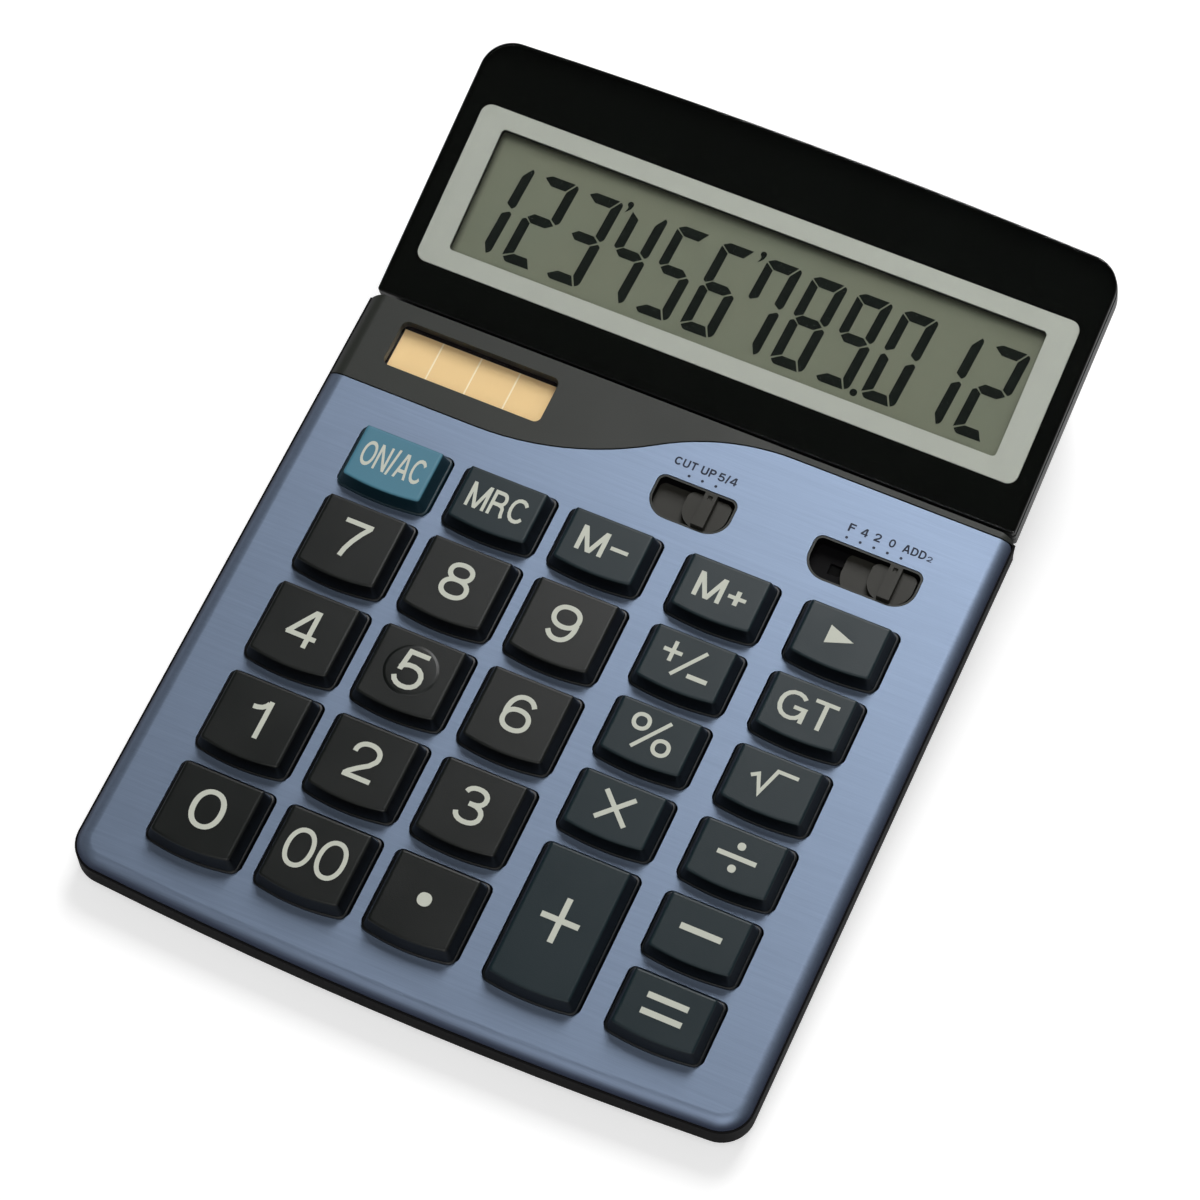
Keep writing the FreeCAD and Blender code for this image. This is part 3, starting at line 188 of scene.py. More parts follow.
# %% What every finish can use
class Finish(Tree):
    """A new material's node tree, with the point that it shades as its place."""

    def __init__(self, name):
        self.material = bpy.data.materials.new(name)
        self.material.use_nodes = True
        super().__init__(self.material.node_tree)
        self.tree.nodes.clear()
        self.place = self.node("ShaderNodeTexCoord", {}, (), "Object")

    def noise(self, size, detail=2.0):
        """Noise from 0 to 1 with blotches of about a size in millimetres."""
        inputs = {"Vector": self.place, "Scale": 1 / (size * millimetre), "Detail": detail}
        return self.node("ShaderNodeTexNoise", {}, inputs)

    def streaks(self, length, width):
        """Noise drawn out along X, with a streak's length and width in millimetres."""
        per_metre = [1 / (side * millimetre) for side in (length, width, width)]
        stretched = self.node("ShaderNodeVectorMath", {"operation": "MULTIPLY"},
                              [self.place, tuple(per_metre)])
        inputs = {"Vector": stretched, "Scale": 1.0, "Detail": 3.0}
        return self.node("ShaderNodeTexNoise", {}, inputs)

    def shaded(self, colour, shade):
        """A colour made lighter or darker by a value round 1."""
        inputs = {"Vector": colour if isinstance(colour, Value) else colour[:3], "Scale": shade}
        return self.node("ShaderNodeVectorMath", {"operation": "SCALE"}, inputs)

    def raised(self, height, depth):
        """A normal bumped by a height from 0 to 1 that is so many millimetres deep."""
        inputs = {"Height": height, "Distance": depth * millimetre, "Strength": 1.0}
        return self.node("ShaderNodeBump", {}, inputs)

    def distance(self, work_plane, axis):
        """The point's distance in millimetres along one axis of a work plane."""
        way = work_plane.to_3x3().col[axis].normalized()
        along = self.node("ShaderNodeVectorMath", {"operation": "DOT_PRODUCT"},
                          [self.place, way], "Value")
        return (along - work_plane.translation.dot(way)) / millimetre

    def between(self, value, start, end):
        """0 at the start and 1 at the end, with a soft beginning and finish."""
        return self.node("ShaderNodeMapRange", {"interpolation_type": "SMOOTHSTEP"},
                         {"Value": value, "From Min": start, "From Max": end})

    def with_painted_shade(self, colour, low):
        """A colour that may turn darker, as painted shade, between two heights above the plate."""
        if not low:
            return paint(*colour)
        painted_shade_colour, bottom, top = low
        share = self.between(self.distance(plate_frame, 2), bottom, top)
        return self.blended(share, paint(*painted_shade_colour), paint(*colour))

    def covered(self, shader):
        """Join a shader to the output and hand over the material."""
        self.node("ShaderNodeOutputMaterial", {}, {"Surface": shader})
        return self.material

    def coat(self, inputs):
        return self.covered(self.node("ShaderNodeBsdfPrincipled", {}, inputs))


# %% Moulded plastics and rubbers
def moulded(name, colour, roughness=0.5, grain=0.22, depth=0.012, mottle=0.10, sheen=0.5,
            low=None):
    """Plastic from a textured mould: fine grain, faint mottling, uneven gloss, and painted shade
    if low is given.
    """
    finish = Finish(name)
    fine = finish.noise(grain)
    broad = finish.noise(14.0, 4.0)
    shade = 1 + (fine - 0.5) * mottle + (broad - 0.5) * mottle
    gloss = roughness + (fine - 0.5) * 0.12 + (broad - 0.5) * 0.16
    return finish.coat({
        "Base Color": finish.shaded(finish.with_painted_shade(colour, low), shade), "Roughness": gloss,
        "Specular IOR Level": sheen, "Normal": finish.raised(fine, depth)})


cap_top = 4.3
# The key plastics turn darker below the cap's top edge: painted shade on the caps' sides.
painted_shade_on_cap_sides = (cap_top - 0.42, cap_top - 0.04)
digit_plastic = moulded("key plastic, charcoal", (15, 19, 17), 0.34, sheen=0.42,
                        low=((4, 5, 6), *painted_shade_on_cap_sides))
function_plastic = moulded("key plastic, slate", (17, 37, 43), 0.37, sheen=0.38,
                           low=((5, 10, 14), *painted_shade_on_cap_sides))
clear_plastic = moulded("key plastic, petrol blue", (74, 132, 154), 0.42,
                        low=((12, 44, 54), *painted_shade_on_cap_sides))
# The housing darkens below the plate's level, and its rim takes a darker copy of the same plastic:
# both are painted shade.
housing_plastic = moulded("housing plastic", (40, 43, 38), 0.48, 0.3, sheen=0.45,
                          low=((12, 11, 13), -1.4, -0.3))
painted_shade_rim_plastic = moulded("housing plastic, rim", (12, 11, 13), 0.6, 0.3, sheen=0.1)
# A near-black ink for the solar cell's rear and left edges: painted shade.
solar_shade_ink = moulded("black border of the solar cell", (20, 14, 18), 0.5, 0.3, 0.002, sheen=0.1)
shell_plastic = moulded("base shell plastic", (26, 26, 27), 0.55, 0.35, 0.02, sheen=0.3)
knob_plastic = moulded("switch knob plastic", (48, 47, 41), 0.5, 0.25, sheen=0.35)
head_plastic = moulded("head plastic, black", (12, 13, 12), 0.32, 0.3, 0.006, sheen=0.25)
mask_ink = moulded("black ink behind the lens", (10, 12, 10), 0.5, 0.3, 0.001, sheen=0.0)
carbon_ink = moulded("carbon contact ink", (22, 22, 22), 0.6, 0.3, 0.004)
legend_ink = moulded("legend, off-white", (214, 217, 203), 0.55, 0.15, 0.004, 0.05)
print_ink = moulded("switch print, slate", (40, 46, 62), 0.5, 0.15, 0.002, 0.06, 0.2)
mat_rubber = moulded("keypad rubber", (178, 180, 176), 0.7, 0.4, 0.01)
foot_rubber = moulded("foot rubber", (28, 28, 28), 0.8, 0.3, 0.03)
connector_rubber = moulded("striped connector rubber", (210, 206, 196), 0.7, 0.2)
chip_epoxy = moulded("chip epoxy", (14, 14, 15), 0.25, 1.2, 0.02)
lead_plastic = moulded("lead insulation", (176, 30, 26), 0.4, 0.3)
ribbon_plastic = moulded("ribbon film", (222, 220, 210), 0.45, 0.5)
segment_ink = moulded("display segments", (27, 31, 28), 0.4, 0.2, 0.001, 0.06, 0.0)
cell_line = moulded("solar cell lines", (247, 232, 200), 0.5, 0.3, 0.001, 0.04)
print(len(bpy.data.materials), "plastics and inks mixed")


# %% Metals
def metal(name, colour, roughness, length, width, depth=0.004, contrast=0.25, metallic=1.0,
          low=None):
    """Metal with brush or rolling lines along X, and painted shade if low is given."""
    finish = Finish(name)
    fine = finish.streaks(length, width)
    wide = finish.streaks(length * 3, width * 5)
    shade = 1 + (fine - 0.5) * contrast + (wide - 0.5) * contrast * 0.6
    gloss = roughness + (fine - 0.5) * 0.2
    return finish.coat({
        "Base Color": finish.shaded(finish.with_painted_shade(colour, low), shade), "Roughness": gloss,
        "Metallic": metallic, "Normal": finish.raised(fine, depth)})


# The plate's colour darkens down its rolled rim: painted shade on the roll.
blue_aluminium = metal("brushed blue aluminium", (131, 147, 171), 0.46, 9.0, 0.14, 0.004, 0.30,
                       0.75, low=((60, 68, 88), -1.25, -0.05))
cut_aluminium = metal("cut edge of the plate", (176, 186, 208), 0.35, 2.0, 0.2, 0.002, 0.20, 0.9)
silver_trim = metal("silver trim", (175, 178, 169), 0.5, 2.0, 0.3, 0.003, 0.10, 0.3)
steel = metal("bright steel", (190, 190, 188), 0.3, 3.0, 0.1)
brass = metal("spring brass", (200, 170, 100), 0.35, 3.0, 0.12)
tin_can = metal("component cans", (150, 152, 158), 0.4, 1.0, 0.2)

# %% Circuit board: phenolic paper with pale traces in a grid of bricks
board = Finish("phenolic board")
board_colour = paint(140, 96, 58)
tracks = board.node("ShaderNodeTexBrick", {}, {
    "Vector": board.place, "Scale": 1.0, "Mortar Size": 0.00025, "Brick Width": 0.012,
    "Row Height": 0.0025, "Color1": board_colour, "Color2": board_colour,
    "Mortar": paint(168, 128, 80)})
fibres = board.noise(0.8, 4.0)
board_brown = board.coat({"Base Color": tracks, "Roughness": 0.45 + (fibres - 0.5) * 0.2,
                          "Normal": board.raised(fibres, 0.01)})


# %% Display film and solar film
def film(finish, drift, first, second, grain, roughness, lit):
    """A matt film that drifts between two colours, scaled by lit, a level of painted shade."""
    fine = finish.noise(grain)
    colour = finish.shaded(finish.blended(drift, paint(*first), paint(*second)), lit)
    return finish.coat({"Base Color": colour, "Roughness": roughness + (fine - 0.5) * 0.1,
                        "Specular IOR Level": 0.0, "Normal": finish.raised(fine, 0.002)})


behind_crystal = Finish("display film")
# The display film darkens along the window's top and left edges: a painted shadow of the bezel.
painted_shadow_left_edge = behind_crystal.between(behind_crystal.distance(head_frame, 0), -58.9, -57.0)
painted_shadow_top_edge = behind_crystal.between(behind_crystal.distance(head_frame, 1) * -1, -35.9, -33.8)
lcd_film = film(behind_crystal, behind_crystal.noise(25.0, 3.0), (121, 123, 106), (116, 122, 107),
                0.2, 0.35, 0.2 + painted_shadow_left_edge * painted_shadow_top_edge * 0.8)
behind_window = Finish("solar film")
cell_film = film(behind_window, behind_window.streaks(20.0, 6.0), (240, 208, 156),
                 (232, 200, 150), 0.3, 0.4, 1.0)

# %% Clear covers, which let the lamps' light through to what lies behind them
clear = Finish("clear lens")
glassy = clear.node("ShaderNodeBsdfPrincipled", {}, {
    "Base Color": paint(250, 251, 250), "Transmission Weight": 1.0, "IOR": 1.49,
    "Roughness": 0.015 + clear.noise(18.0, 3.0) * 0.03})
passing = clear.node("ShaderNodeBsdfTransparent")
lamp_ray = clear.node("ShaderNodeLightPath", {}, (), "Is Shadow Ray")
lens_clear = clear.covered(clear.node("ShaderNodeMixShader", {}, [lamp_ray, glassy, passing]))
print(len(bpy.data.materials), "finishes in all")

# %% [markdown]
# ## Dressing the CAD parts
# A CAD part that already has the right shape only needs its finish. It goes into the object's
# material slots; the mesh itself stays as it was packed.

# %% Give every CAD part its finish
dressing = {
    lens_clear: "solar_window", lcd_film: "lcd_glass", cell_film: "solar_cell",
    mat_rubber: "keypad_mat", board_brown: "main_board display_board",
    chip_epoxy: "controller_chip", tin_can: "board_components",
    brass: "rounding_switch_wiper decimal_switch_wiper battery_contact_plus battery_contact_minus",
    steel: "board_screws display_board_screws hinge_pins hinge_washers battery",
    foot_rubber: "rubber_feet", connector_rubber: "lcd_connectors",
    ribbon_plastic: "display_ribbon_head display_ribbon_base", lead_plastic: "power_leads",
}
for material, names in dressing.items():
    for name in names.split():
        for slot in nodes[name].material_slots:
            slot.material = material
dressed = sum(len(names.split()) for names in dressing.values())
print(dressed, "CAD parts dressed;", len(nodes) - dressed, "left to make")


# %% [markdown]
# ## Finishing a piece
# Every piece ends the same way: its mesh is moved onto the plate or the display, its flat faces
# stay crisp and its curved ones smooth, and it rides on its body.

# %% Finish a piece
def riding(name, mesh, body, stands_for=None):
    """A finished mesh as a piece that rides on a body."""
    piece = in_scene(name, mesh)
    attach(piece, body)
    if stands_for:
        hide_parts(stands_for)
    return piece


def place_piece(name, mesh, place, material, body, stands_for=None):
    """Turn a mesh made flat in millimetres into a finished piece that rides on a body."""
    mesh.transform(place)
    mesh.materials.clear()
    mesh.materials.append(material)
    mesh.polygons.foreach_set("use_smooth", [True] * len(mesh.polygons))
    mesh.set_sharp_from_angle(angle=math.radians(32))
    return riding(name, mesh, body, stands_for)


def plain_mesh(holder):
    """The mesh that an object's modifiers make; the object itself goes away."""
    graph = bpy.context.evaluated_depsgraph_get()
    mesh = bpy.data.meshes.new_from_object(holder.evaluated_get(graph))
    bpy.data.objects.remove(holder)
    return mesh


# %% [markdown]
# ## Broken edges
# No moulded or stamped edge is perfectly sharp: a tenth of a millimetre of roundness is what
# catches the light and draws each outline. The CAD solids are sharp there, so their shells are
# copied, the copies' triangles joined into whole faces, and a Bevel modifier breaks the edges.
# Weighted normals then keep the wide faces flat. On the plate the bevel shows bare metal.

# %% Copy a CAD part and break its edges
def edged(node_name, body, material, width, edge_material=None, refine=None):
    """A copy of a CAD part, with doubles merged and edges broken by a width in millimetres."""
    source = nodes[node_name].data
    mesh = bpy.data.meshes.new(node_name + "_edged")
    mesh.from_pydata([v.co.copy() for v in source.vertices], [],
                     [tuple(p.vertices) for p in source.polygons])
    work = bmesh.new()
    work.from_mesh(mesh)
    bmesh.ops.remove_doubles(work, verts=work.verts, dist=1e-6)
    bmesh.ops.dissolve_limit(work, angle_limit=math.radians(0.05), verts=work.verts,
                             edges=work.edges)
    if refine:
        refine(work)
    work.to_mesh(mesh)
    work.free()
    mesh.materials.append(material)
    mesh.materials.append(edge_material or material)
    mesh.polygons.foreach_set("use_smooth", [True] * len(mesh.polygons))
    draft = in_scene(node_name + "_draft", mesh)
    bevel = draft.modifiers.new("broken edges", "BEVEL")
    bevel.width = width * millimetre
    bevel.segments = 2
    bevel.limit_method = "ANGLE"
    bevel.angle_limit = math.radians(35)
    bevel.material = 1
    draft.modifiers.new("flat faces", "WEIGHTED_NORMAL").keep_sharp = True
    return riding(node_name + "_edged", plain_mesh(draft), body, node_name)


# %% [markdown]
# ## The plate's rolled rim
# The real plate is pressed, and its front and sides curl down over the housing. In the CAD mesh
# that roll is a few long facets, which would mirror the lamp in steps. So the copy's facets are
# divided and their corners laid on the true curve, and later its normals follow the same curve.

# %% The plate's roll
roll_radius = 3.914
roll_start = 3.45
roll_lowest, roll_highest = -1.45, -0.01
rim_bow_middle = Vector((0.0, 953.45))
rim_bow_radius = 953.45
rim_corner_middle = Vector((62.5, 8.565))
rim_corner_radius = 6.5
rim_half_width = 69.0


def past_roll_start(point):
    """How far a point lies past the start of the roll, and the level way outwards there."""
    spot = Vector((abs(point.x), point.y))
    to_corner = rim_corner_middle - rim_bow_middle
    beside_bow = (spot - rim_corner_middle).dot(Vector((-to_corner.y, to_corner.x))) > 0
    if not beside_bow:
        ray, radius = spot - rim_bow_middle, rim_bow_radius
    elif spot.y < rim_corner_middle.y:
        ray, radius = spot - rim_corner_middle, rim_corner_radius
    else:
        ray, radius = Vector((spot.x, 0.0)), rim_half_width
    way = ray.normalized()
    way.x = math.copysign(way.x, point.x)
    return ray.length - radius + roll_start, way


def roll_normal(point):
    """The plate's true normal at a point of its upper face, both in the plate's frame."""
    past, way = past_roll_start(point)
    if past <= 0:
        return Vector((0.0, 0.0, 1.0))
    lean = min(past / roll_radius, 0.95)
    return Vector((way.x * lean, way.y * lean, math.sqrt(1 - lean * lean)))


# %% Divide the roll's long facets and lay their corners on its true curve
def refine_roll(work):
    up = to_plate.to_3x3().col[2]

    def roll_faces():
        chosen = []
        for face in work.faces:
            heights = [(off_plate @ corner.co).z for corner in face.verts]
            if face.normal.dot(up) > 0.5 and roll_lowest < min(heights) < roll_highest:
                chosen.append(face)
        return chosen

    for longest in (6.0, 3.0, 1.5, 0.9):
        long_edges = {edge for face in roll_faces() for edge in face.edges
                      if edge.calc_length() > longest * millimetre}
        bmesh.ops.subdivide_edges(work, edges=list(long_edges), cuts=1)
        bmesh.ops.triangulate(work, faces=[face for face in roll_faces() if len(face.verts) > 3])
    for corner in {corner for face in roll_faces() for corner in face.verts}:
        point = off_plate @ corner.co
        past, _ = past_roll_start(point)
        point.z = math.sqrt(roll_radius ** 2 - max(past, 0.0) ** 2) - roll_radius
        corner.co = plate_frame @ point


# %% The shells, the plate, the lens and the knobs
plate = edged("front_plate", "base", blue_aluminium, 0.08, cut_aluminium, refine_roll)
housing = edged("upper_housing", "base", housing_plastic, 0.12)
edged("lower_housing", "base", shell_plastic, 0.2)
edged("battery_door", "door", shell_plastic, 0.15)
head_case = edged("head_front_case", "display_head", head_plastic, 0.1)
edged("head_back_case", "display_head", head_plastic, 0.15)
edged("display_trim_frame", "display_head", silver_trim, 0.06)
for switch in ("rounding_switch", "decimal_switch"):
    edged(switch + "_knob", switch, knob_plastic, 0.08)
lens = edged("display_lens", "display_head", lens_clear, 0.1)
print("plate has", len(plate.data.polygons), "faces, lens", len(lens.data.polygons))

# %% Blacken the lens's rim and the case behind it, and paint shade on the housing's rim below the plate
head_up = head_frame.to_3x3().col[2].normalized()
rim_height = -1.4


def two_toned(piece, main_material, other_material, is_main):
    """Give the faces that pass a test one material and all others another."""
    piece.data.materials[0] = main_material
    piece.data.materials[1] = other_material
    for face in piece.data.polygons:
        face.material_index = 0 if is_main(face) else 1


def along_display(face):
    return abs(face.normal.dot(head_up)) > 0.9


two_toned(lens, lens_clear, head_plastic, along_display)
two_toned(head_case, mask_ink, head_plastic, along_display)
# The housing's faces below the rim height take the darker copy: painted shade.
two_toned(housing, housing_plastic, painted_shade_rim_plastic,
          lambda face: (off_plate @ face.center).z >= rim_height)

# %% Shade the plate's roll by its true curve
turn_to_plate = to_plate.to_3x3()
turn_off_plate = turn_to_plate.inverted()
plate_mesh = plate.data
normals = [corner.vector.copy() for corner in plate_mesh.corner_normals]
smoothed = 0
for face in plate_mesh.polygons:
    if face.material_index or (turn_off_plate @ face.normal).z < 0.3:
        continue
    for loop, vertex in zip(face.loop_indices, face.vertices):
        normals[loop] = turn_to_plate @ roll_normal(off_plate @ plate_mesh.vertices[vertex].co)
        smoothed += 1
plate_mesh.normals_split_custom_set(normals)
print(smoothed, "normals of the plate set from its true roll")


# %% [markdown]
# ## Geometry Nodes recipes
# The 26 key caps follow one rule, and so do the rows of dots, the lines on the solar cell and
# the screws. A recipe is a Geometry Nodes tree with named inputs. Making a piece sets the
# inputs, reads the evaluated result as a plain mesh, and throws the modifier away. Where a
# sweep or a Boolean leaves doubled corners, they are merged and the faces turned outwards.

# %% Mend a mesh
def outward(mesh):
    """Merge a mesh's doubles and point its faces outwards."""
    work = bmesh.new()
    work.from_mesh(mesh)
    bmesh.ops.remove_doubles(work, verts=work.verts, dist=0.0005)
    bmesh.ops.recalc_face_normals(work, faces=work.faces)
    work.to_mesh(mesh)
    work.free()
    return mesh


# %% A recipe and how it is used
class Recipe(Tree):
    """A Geometry Nodes tree with named inputs that makes plain meshes."""

    def __init__(self, name, **kinds):
        super().__init__(bpy.data.node_groups.new(name, "GeometryNodeTree"))
        self.entry = self.tree.nodes.new("NodeGroupInput")
        self.identifiers = {}
        new_socket = self.tree.interface.new_socket
        for label, kind in {**kinds, "material": "Material"}.items():
            socket = new_socket(name=label, in_out="INPUT", socket_type="NodeSocket" + kind)
            self.identifiers[label] = socket.identifier
        new_socket(name="Geometry", in_out="OUTPUT", socket_type="NodeSocketGeometry")

    def __getitem__(self, label):
        return Value(self, self.entry.outputs[label])

    def place(self):
        """The x, y and z of each point, as three values."""
        position = self.node("GeometryNodeInputPosition")
        return [self.node("ShaderNodeSeparateXYZ", {}, [position], axis) for axis in "XYZ"]

    def point(self, x, y, z):
        return self.node("ShaderNodeCombineXYZ", {}, [x, y, z])

    def adjusted(self, geometry, **inputs):
        return self.node("GeometryNodeSetPosition", {}, {"Geometry": geometry, **inputs})

    def shifted(self, geometry, z):
        return self.node("GeometryNodeTransform", {},
                         {"Geometry": geometry, "Translation": self.point(0.0, 0.0, z)})

    def box(self, x, y, z):
        return self.node("GeometryNodeMeshCube", {}, {"Size": self.point(x, y, z)})

    def barrel(self, sides, radius, depth, **more):
        return self.node("GeometryNodeMeshCylinder", {},
                         {"Vertices": sides, "Radius": radius, "Depth": depth, **more})

    def on_points(self, points, instance, **more):
        return self.node("GeometryNodeInstanceOnPoints", {},
                         {"Points": points, "Instance": instance, **more})

    def end(self, geometry):
        real = self.node("GeometryNodeRealizeInstances", {}, [geometry])
        painted = self.node("GeometryNodeSetMaterial", {},
                            {"Geometry": real, "Material": self["material"]})
        self.node("NodeGroupOutput", {}, {"Geometry": painted})

    def make(self, name, **values):
        holder = in_scene(name, bpy.data.meshes.new(name))
        modifier = holder.modifiers.new(name, "NODES")
        modifier.node_group = self.tree
        for label, value in values.items():
            modifier[self.identifiers[label]] = value
        return plain_mesh(holder)


# %% Lines and points for a recipe
def guide(name, points):
    """A poly curve through flat points, as a recipe's object input."""
    curve = bpy.data.curves.new(name, "CURVE")
    curve.dimensions = "3D"
    spline = curve.splines.new("POLY")
    spline.points.add(len(points) - 1)
    for target, (x, y) in zip(spline.points, points):
        target.co = (x, y, 0.0, 1.0)
    return in_scene(name, curve)


def eased(corners, closed=False, steps=4):
    """Points of a line whose corners (x, y, radius) are rounded."""
    points = []
    last = len(corners) - 1
    for i, (x, y, radius) in enumerate(corners):
        corner = Vector((x, y))
        if radius == 0 or (not closed and i in (0, last)):
            points.append(corner)
            continue
        before = Vector(corners[i - 1][:2])
        after = Vector(corners[(i + 1) % len(corners)][:2])
        start = corner + (before - corner).normalized() * radius
        end = corner + (after - corner).normalized() * radius
        for k in range(steps + 1):
            t = k / steps
            points.append(start * (1 - t) ** 2 + corner * 2 * t * (1 - t) + end * t ** 2)
    return points


# %% [markdown]
# ## Key caps
# Each cap is the same profile swept round the key's outline: a flange under the housing, an
# upright skirt, a small bead at the plate, and a slanted side that rounds over into the flat
# top. The outline is a rounded rectangle whose front edge bows out. The sides slant further in
# than the front, so after the sweep each point is drawn in by its own share. Lids then close
# the sweep at both ends.

# %% The key cap recipe: the outline
cap = Recipe("Key cap", width="Float", depth="Float", bow="Float", corner="Float",
             side_share="Float", rear_share="Float", profile="Object")
rectangle = cap.node("GeometryNodeCurvePrimitiveQuadrilateral", {},
                     {"Width": cap["width"], "Height": cap["depth"]})
rounded = cap.node("GeometryNodeFilletCurve", {"mode": "POLY"},
                   {"Curve": rectangle, "Count": 6, "Radius": cap["corner"]})
divided = cap.node("GeometryNodeResampleCurve", {"mode": "LENGTH"},
                   {"Curve": rounded, "Length": 0.6})
x, y, z = cap.place()
across = x / (cap["width"] / 2)
bowing = cap["bow"] * (1 - across * across) * (y < 0.0)
bowed = cap.adjusted(divided, Offset=cap.point(0.0, 0 - bowing, 0.0))
upright = cap.node("GeometryNodeSetCurveNormal", {"mode": "Z_UP"}, [bowed])

# %% The key cap recipe: the sweep, its drafts and its lids
section = cap.node("GeometryNodeObjectInfo", {}, {"Object": cap["profile"]}, "Geometry")
marked = cap.node("GeometryNodeStoreNamedAttribute", {},
                  {"Geometry": section, "Name": "inset", "Value": cap.place()[0]})
turned_over = cap.node("GeometryNodeTransform", {},
                       {"Geometry": marked, "Scale": (-1.0, -1.0, 1.0)})
swept = cap.node("GeometryNodeCurveToMesh", {}, {"Curve": upright, "Profile Curve": turned_over})
inset = cap.node("GeometryNodeInputNamedAttribute", {}, {"Name": "inset"})
x, y, z = cap.place()
drawn = inset.maths("MAXIMUM", inset, 0.0)
half_width = cap["width"] / 2 - inset
half_depth = cap["depth"] / 2 - inset
narrowed = x * (half_width - drawn * (cap["side_share"] - 1)) / half_width
forward = y - drawn * (cap["rear_share"] - 1) * (y / half_depth + 1) / 2
drafted = cap.adjusted(swept, Position=cap.point(narrowed, forward, z))
neighbours = cap.node("GeometryNodeInputMeshEdgeNeighbors")
lids = cap.node("GeometryNodeExtrudeMesh", {"mode": "EDGES"},
                {"Mesh": drafted, "Selection": neighbours < 1.5, "Offset Scale": 0.0})
rims = Value(cap, lids.socket.node.outputs["Top"])
cap.end(cap.adjusted(lids, Selection=rims, Position=cap.point(0.0, 0.0, cap.place()[2])))

# %% Its sizes, and the keypad's layout
key_width = 20.0
cap_gap = 0.35
cap_corner = 1.25
front_draft = 1.03
side_draft = 1.75
rear_draft = 1.5
cap_profile = guide("cap profile", eased([
    (-1.15, -3.65, 0), (-1.15, -2.85, 0), (0.0, -2.85, 0), (0.0, 0.62, 0.22), (0.27, 0.62, 0.06),
    (front_draft - 0.10, cap_top, 0.34), (front_draft + 0.25, cap_top, 0)]))

column_left = [-57.0, -34.65, -12.3, 12.3, 36.9]
function_row_pitch = 16.38
function_row_rear = [107.4 - function_row_pitch * row for row in range(6)]
function_depth = 14.2
function_bow = 0.85
digit_row_rear = [91.02 - 20.5725 * row for row in range(4)]
digit_depth = 18.0025
digit_bow = 1.07
keypad = {}


def lay_key(name, column, rear, depth, bow):
    """Note the middle of a key's opening, with the size of the cap in it."""
    middle = Vector((column_left[column] + key_width / 2, rear - depth / 2, 0.0))
    keypad["key_" + name] = (middle, depth - 2 * cap_gap, bow)


for row, names in enumerate(["7 8 9", "4 5 6", "1 2 3", "0 00 point"]):
    for column, name in enumerate(names.split()):
        lay_key(name, column, digit_row_rear[row], digit_depth, digit_bow)
digit_keys = list(keypad)
for column, name in enumerate("on_ac mrc m_minus".split()):
    lay_key(name, column, function_row_rear[0], function_depth, function_bow)
for column, names in [(3, "m_plus sign percent multiply plus"),
                      (4, "shift_right grand_total root divide minus equals")]:
    for row, name in enumerate(names.split()):
        depth = function_depth + (function_row_pitch if name == "plus" else 0)
        lay_key(name, column, function_row_rear[row], depth, function_bow)
print(len(keypad), "keys laid out")

# %% Mould the 26 caps
top_shift = Vector((0, (front_draft - rear_draft) / 2, cap_top))
for name, (middle, depth, bow) in keypad.items():
    plastic, slot = function_plastic, "function_key"
    if name in digit_keys:
        plastic, slot = digit_plastic, "digit_key"
    elif name == "key_on_ac":
        plastic, slot = clear_plastic, "clear_key"
    mesh = cap.make(name + "_moulded", width=key_width - 2 * cap_gap, depth=depth, bow=bow,
                    corner=cap_corner, side_share=side_draft / front_draft,
                    rear_share=rear_draft / front_draft, profile=cap_profile, material=plastic)
    outward(mesh)
    if "inset" in mesh.attributes:
        mesh.attributes.remove(mesh.attributes["inset"])
    place_piece(name + "_moulded", mesh, on_plate(middle), plastic, name + "_cap", name)
bpy.data.objects.remove(cap_profile)
print("each cap has about", len(mesh.polygons), "faces")


# %% [markdown]
# ## The middle key's puck
# A low disc with a sloped edge marks the middle key, so a finger finds it without looking. It
# is turned from a short profile on the cap's flat top.

# %% Turn the puck
def turned(name, profile, steps=64):
    """A closed mesh turned about Z from a profile of (radius, height), top to bottom."""
    work = bmesh.new()
    rings = []
    for radius, height in profile:
        angles = [math.tau * i / steps for i in range(steps)] if radius else [0.0]
        rings.append([work.verts.new((radius * math.cos(a), radius * math.sin(a), height))
                      for a in angles])
    for upper, lower in zip(rings, rings[1:]):
        for i in range(steps):
            corners = [upper[i % len(upper)], upper[(i + 1) % len(upper)],
                       lower[(i + 1) % len(lower)], lower[i % len(lower)]]
            work.faces.new(list(dict.fromkeys(corners)))
    bmesh.ops.recalc_face_normals(work, faces=work.faces)
    mesh = bpy.data.meshes.new(name)
    work.to_mesh(mesh)
    work.free()
    return mesh


puck_height = 0.16
puck = turned("key_5_puck", [(0, puck_height), (4.75, puck_height), (4.95, puck_height - 0.01),
                             (5.25, 0.03), (5.45, -0.02), (0, -0.02)])
place_piece("key_5_puck", puck, on_plate(keypad["key_5"][0] + top_shift), digit_plastic,
            "key_5_cap")


# %% [markdown]
# ## Drawing flat shapes
# Legends and display segments are flat shapes with a little thickness. A shape is drawn as
# many small outlines that may overlap; a constrained triangulation then joins them into one
# face with its holes left open, and the outer edges are walled down to the surface below.

# %% Outlines to a closed, raised shape
def area_of(outline):
    """Twice the signed area: positive when the outline runs anticlockwise."""
    pairs = zip(outline, list(outline[1:]) + [outline[0]])
    return sum(a[0] * b[1] - b[0] * a[1] for a, b in pairs)


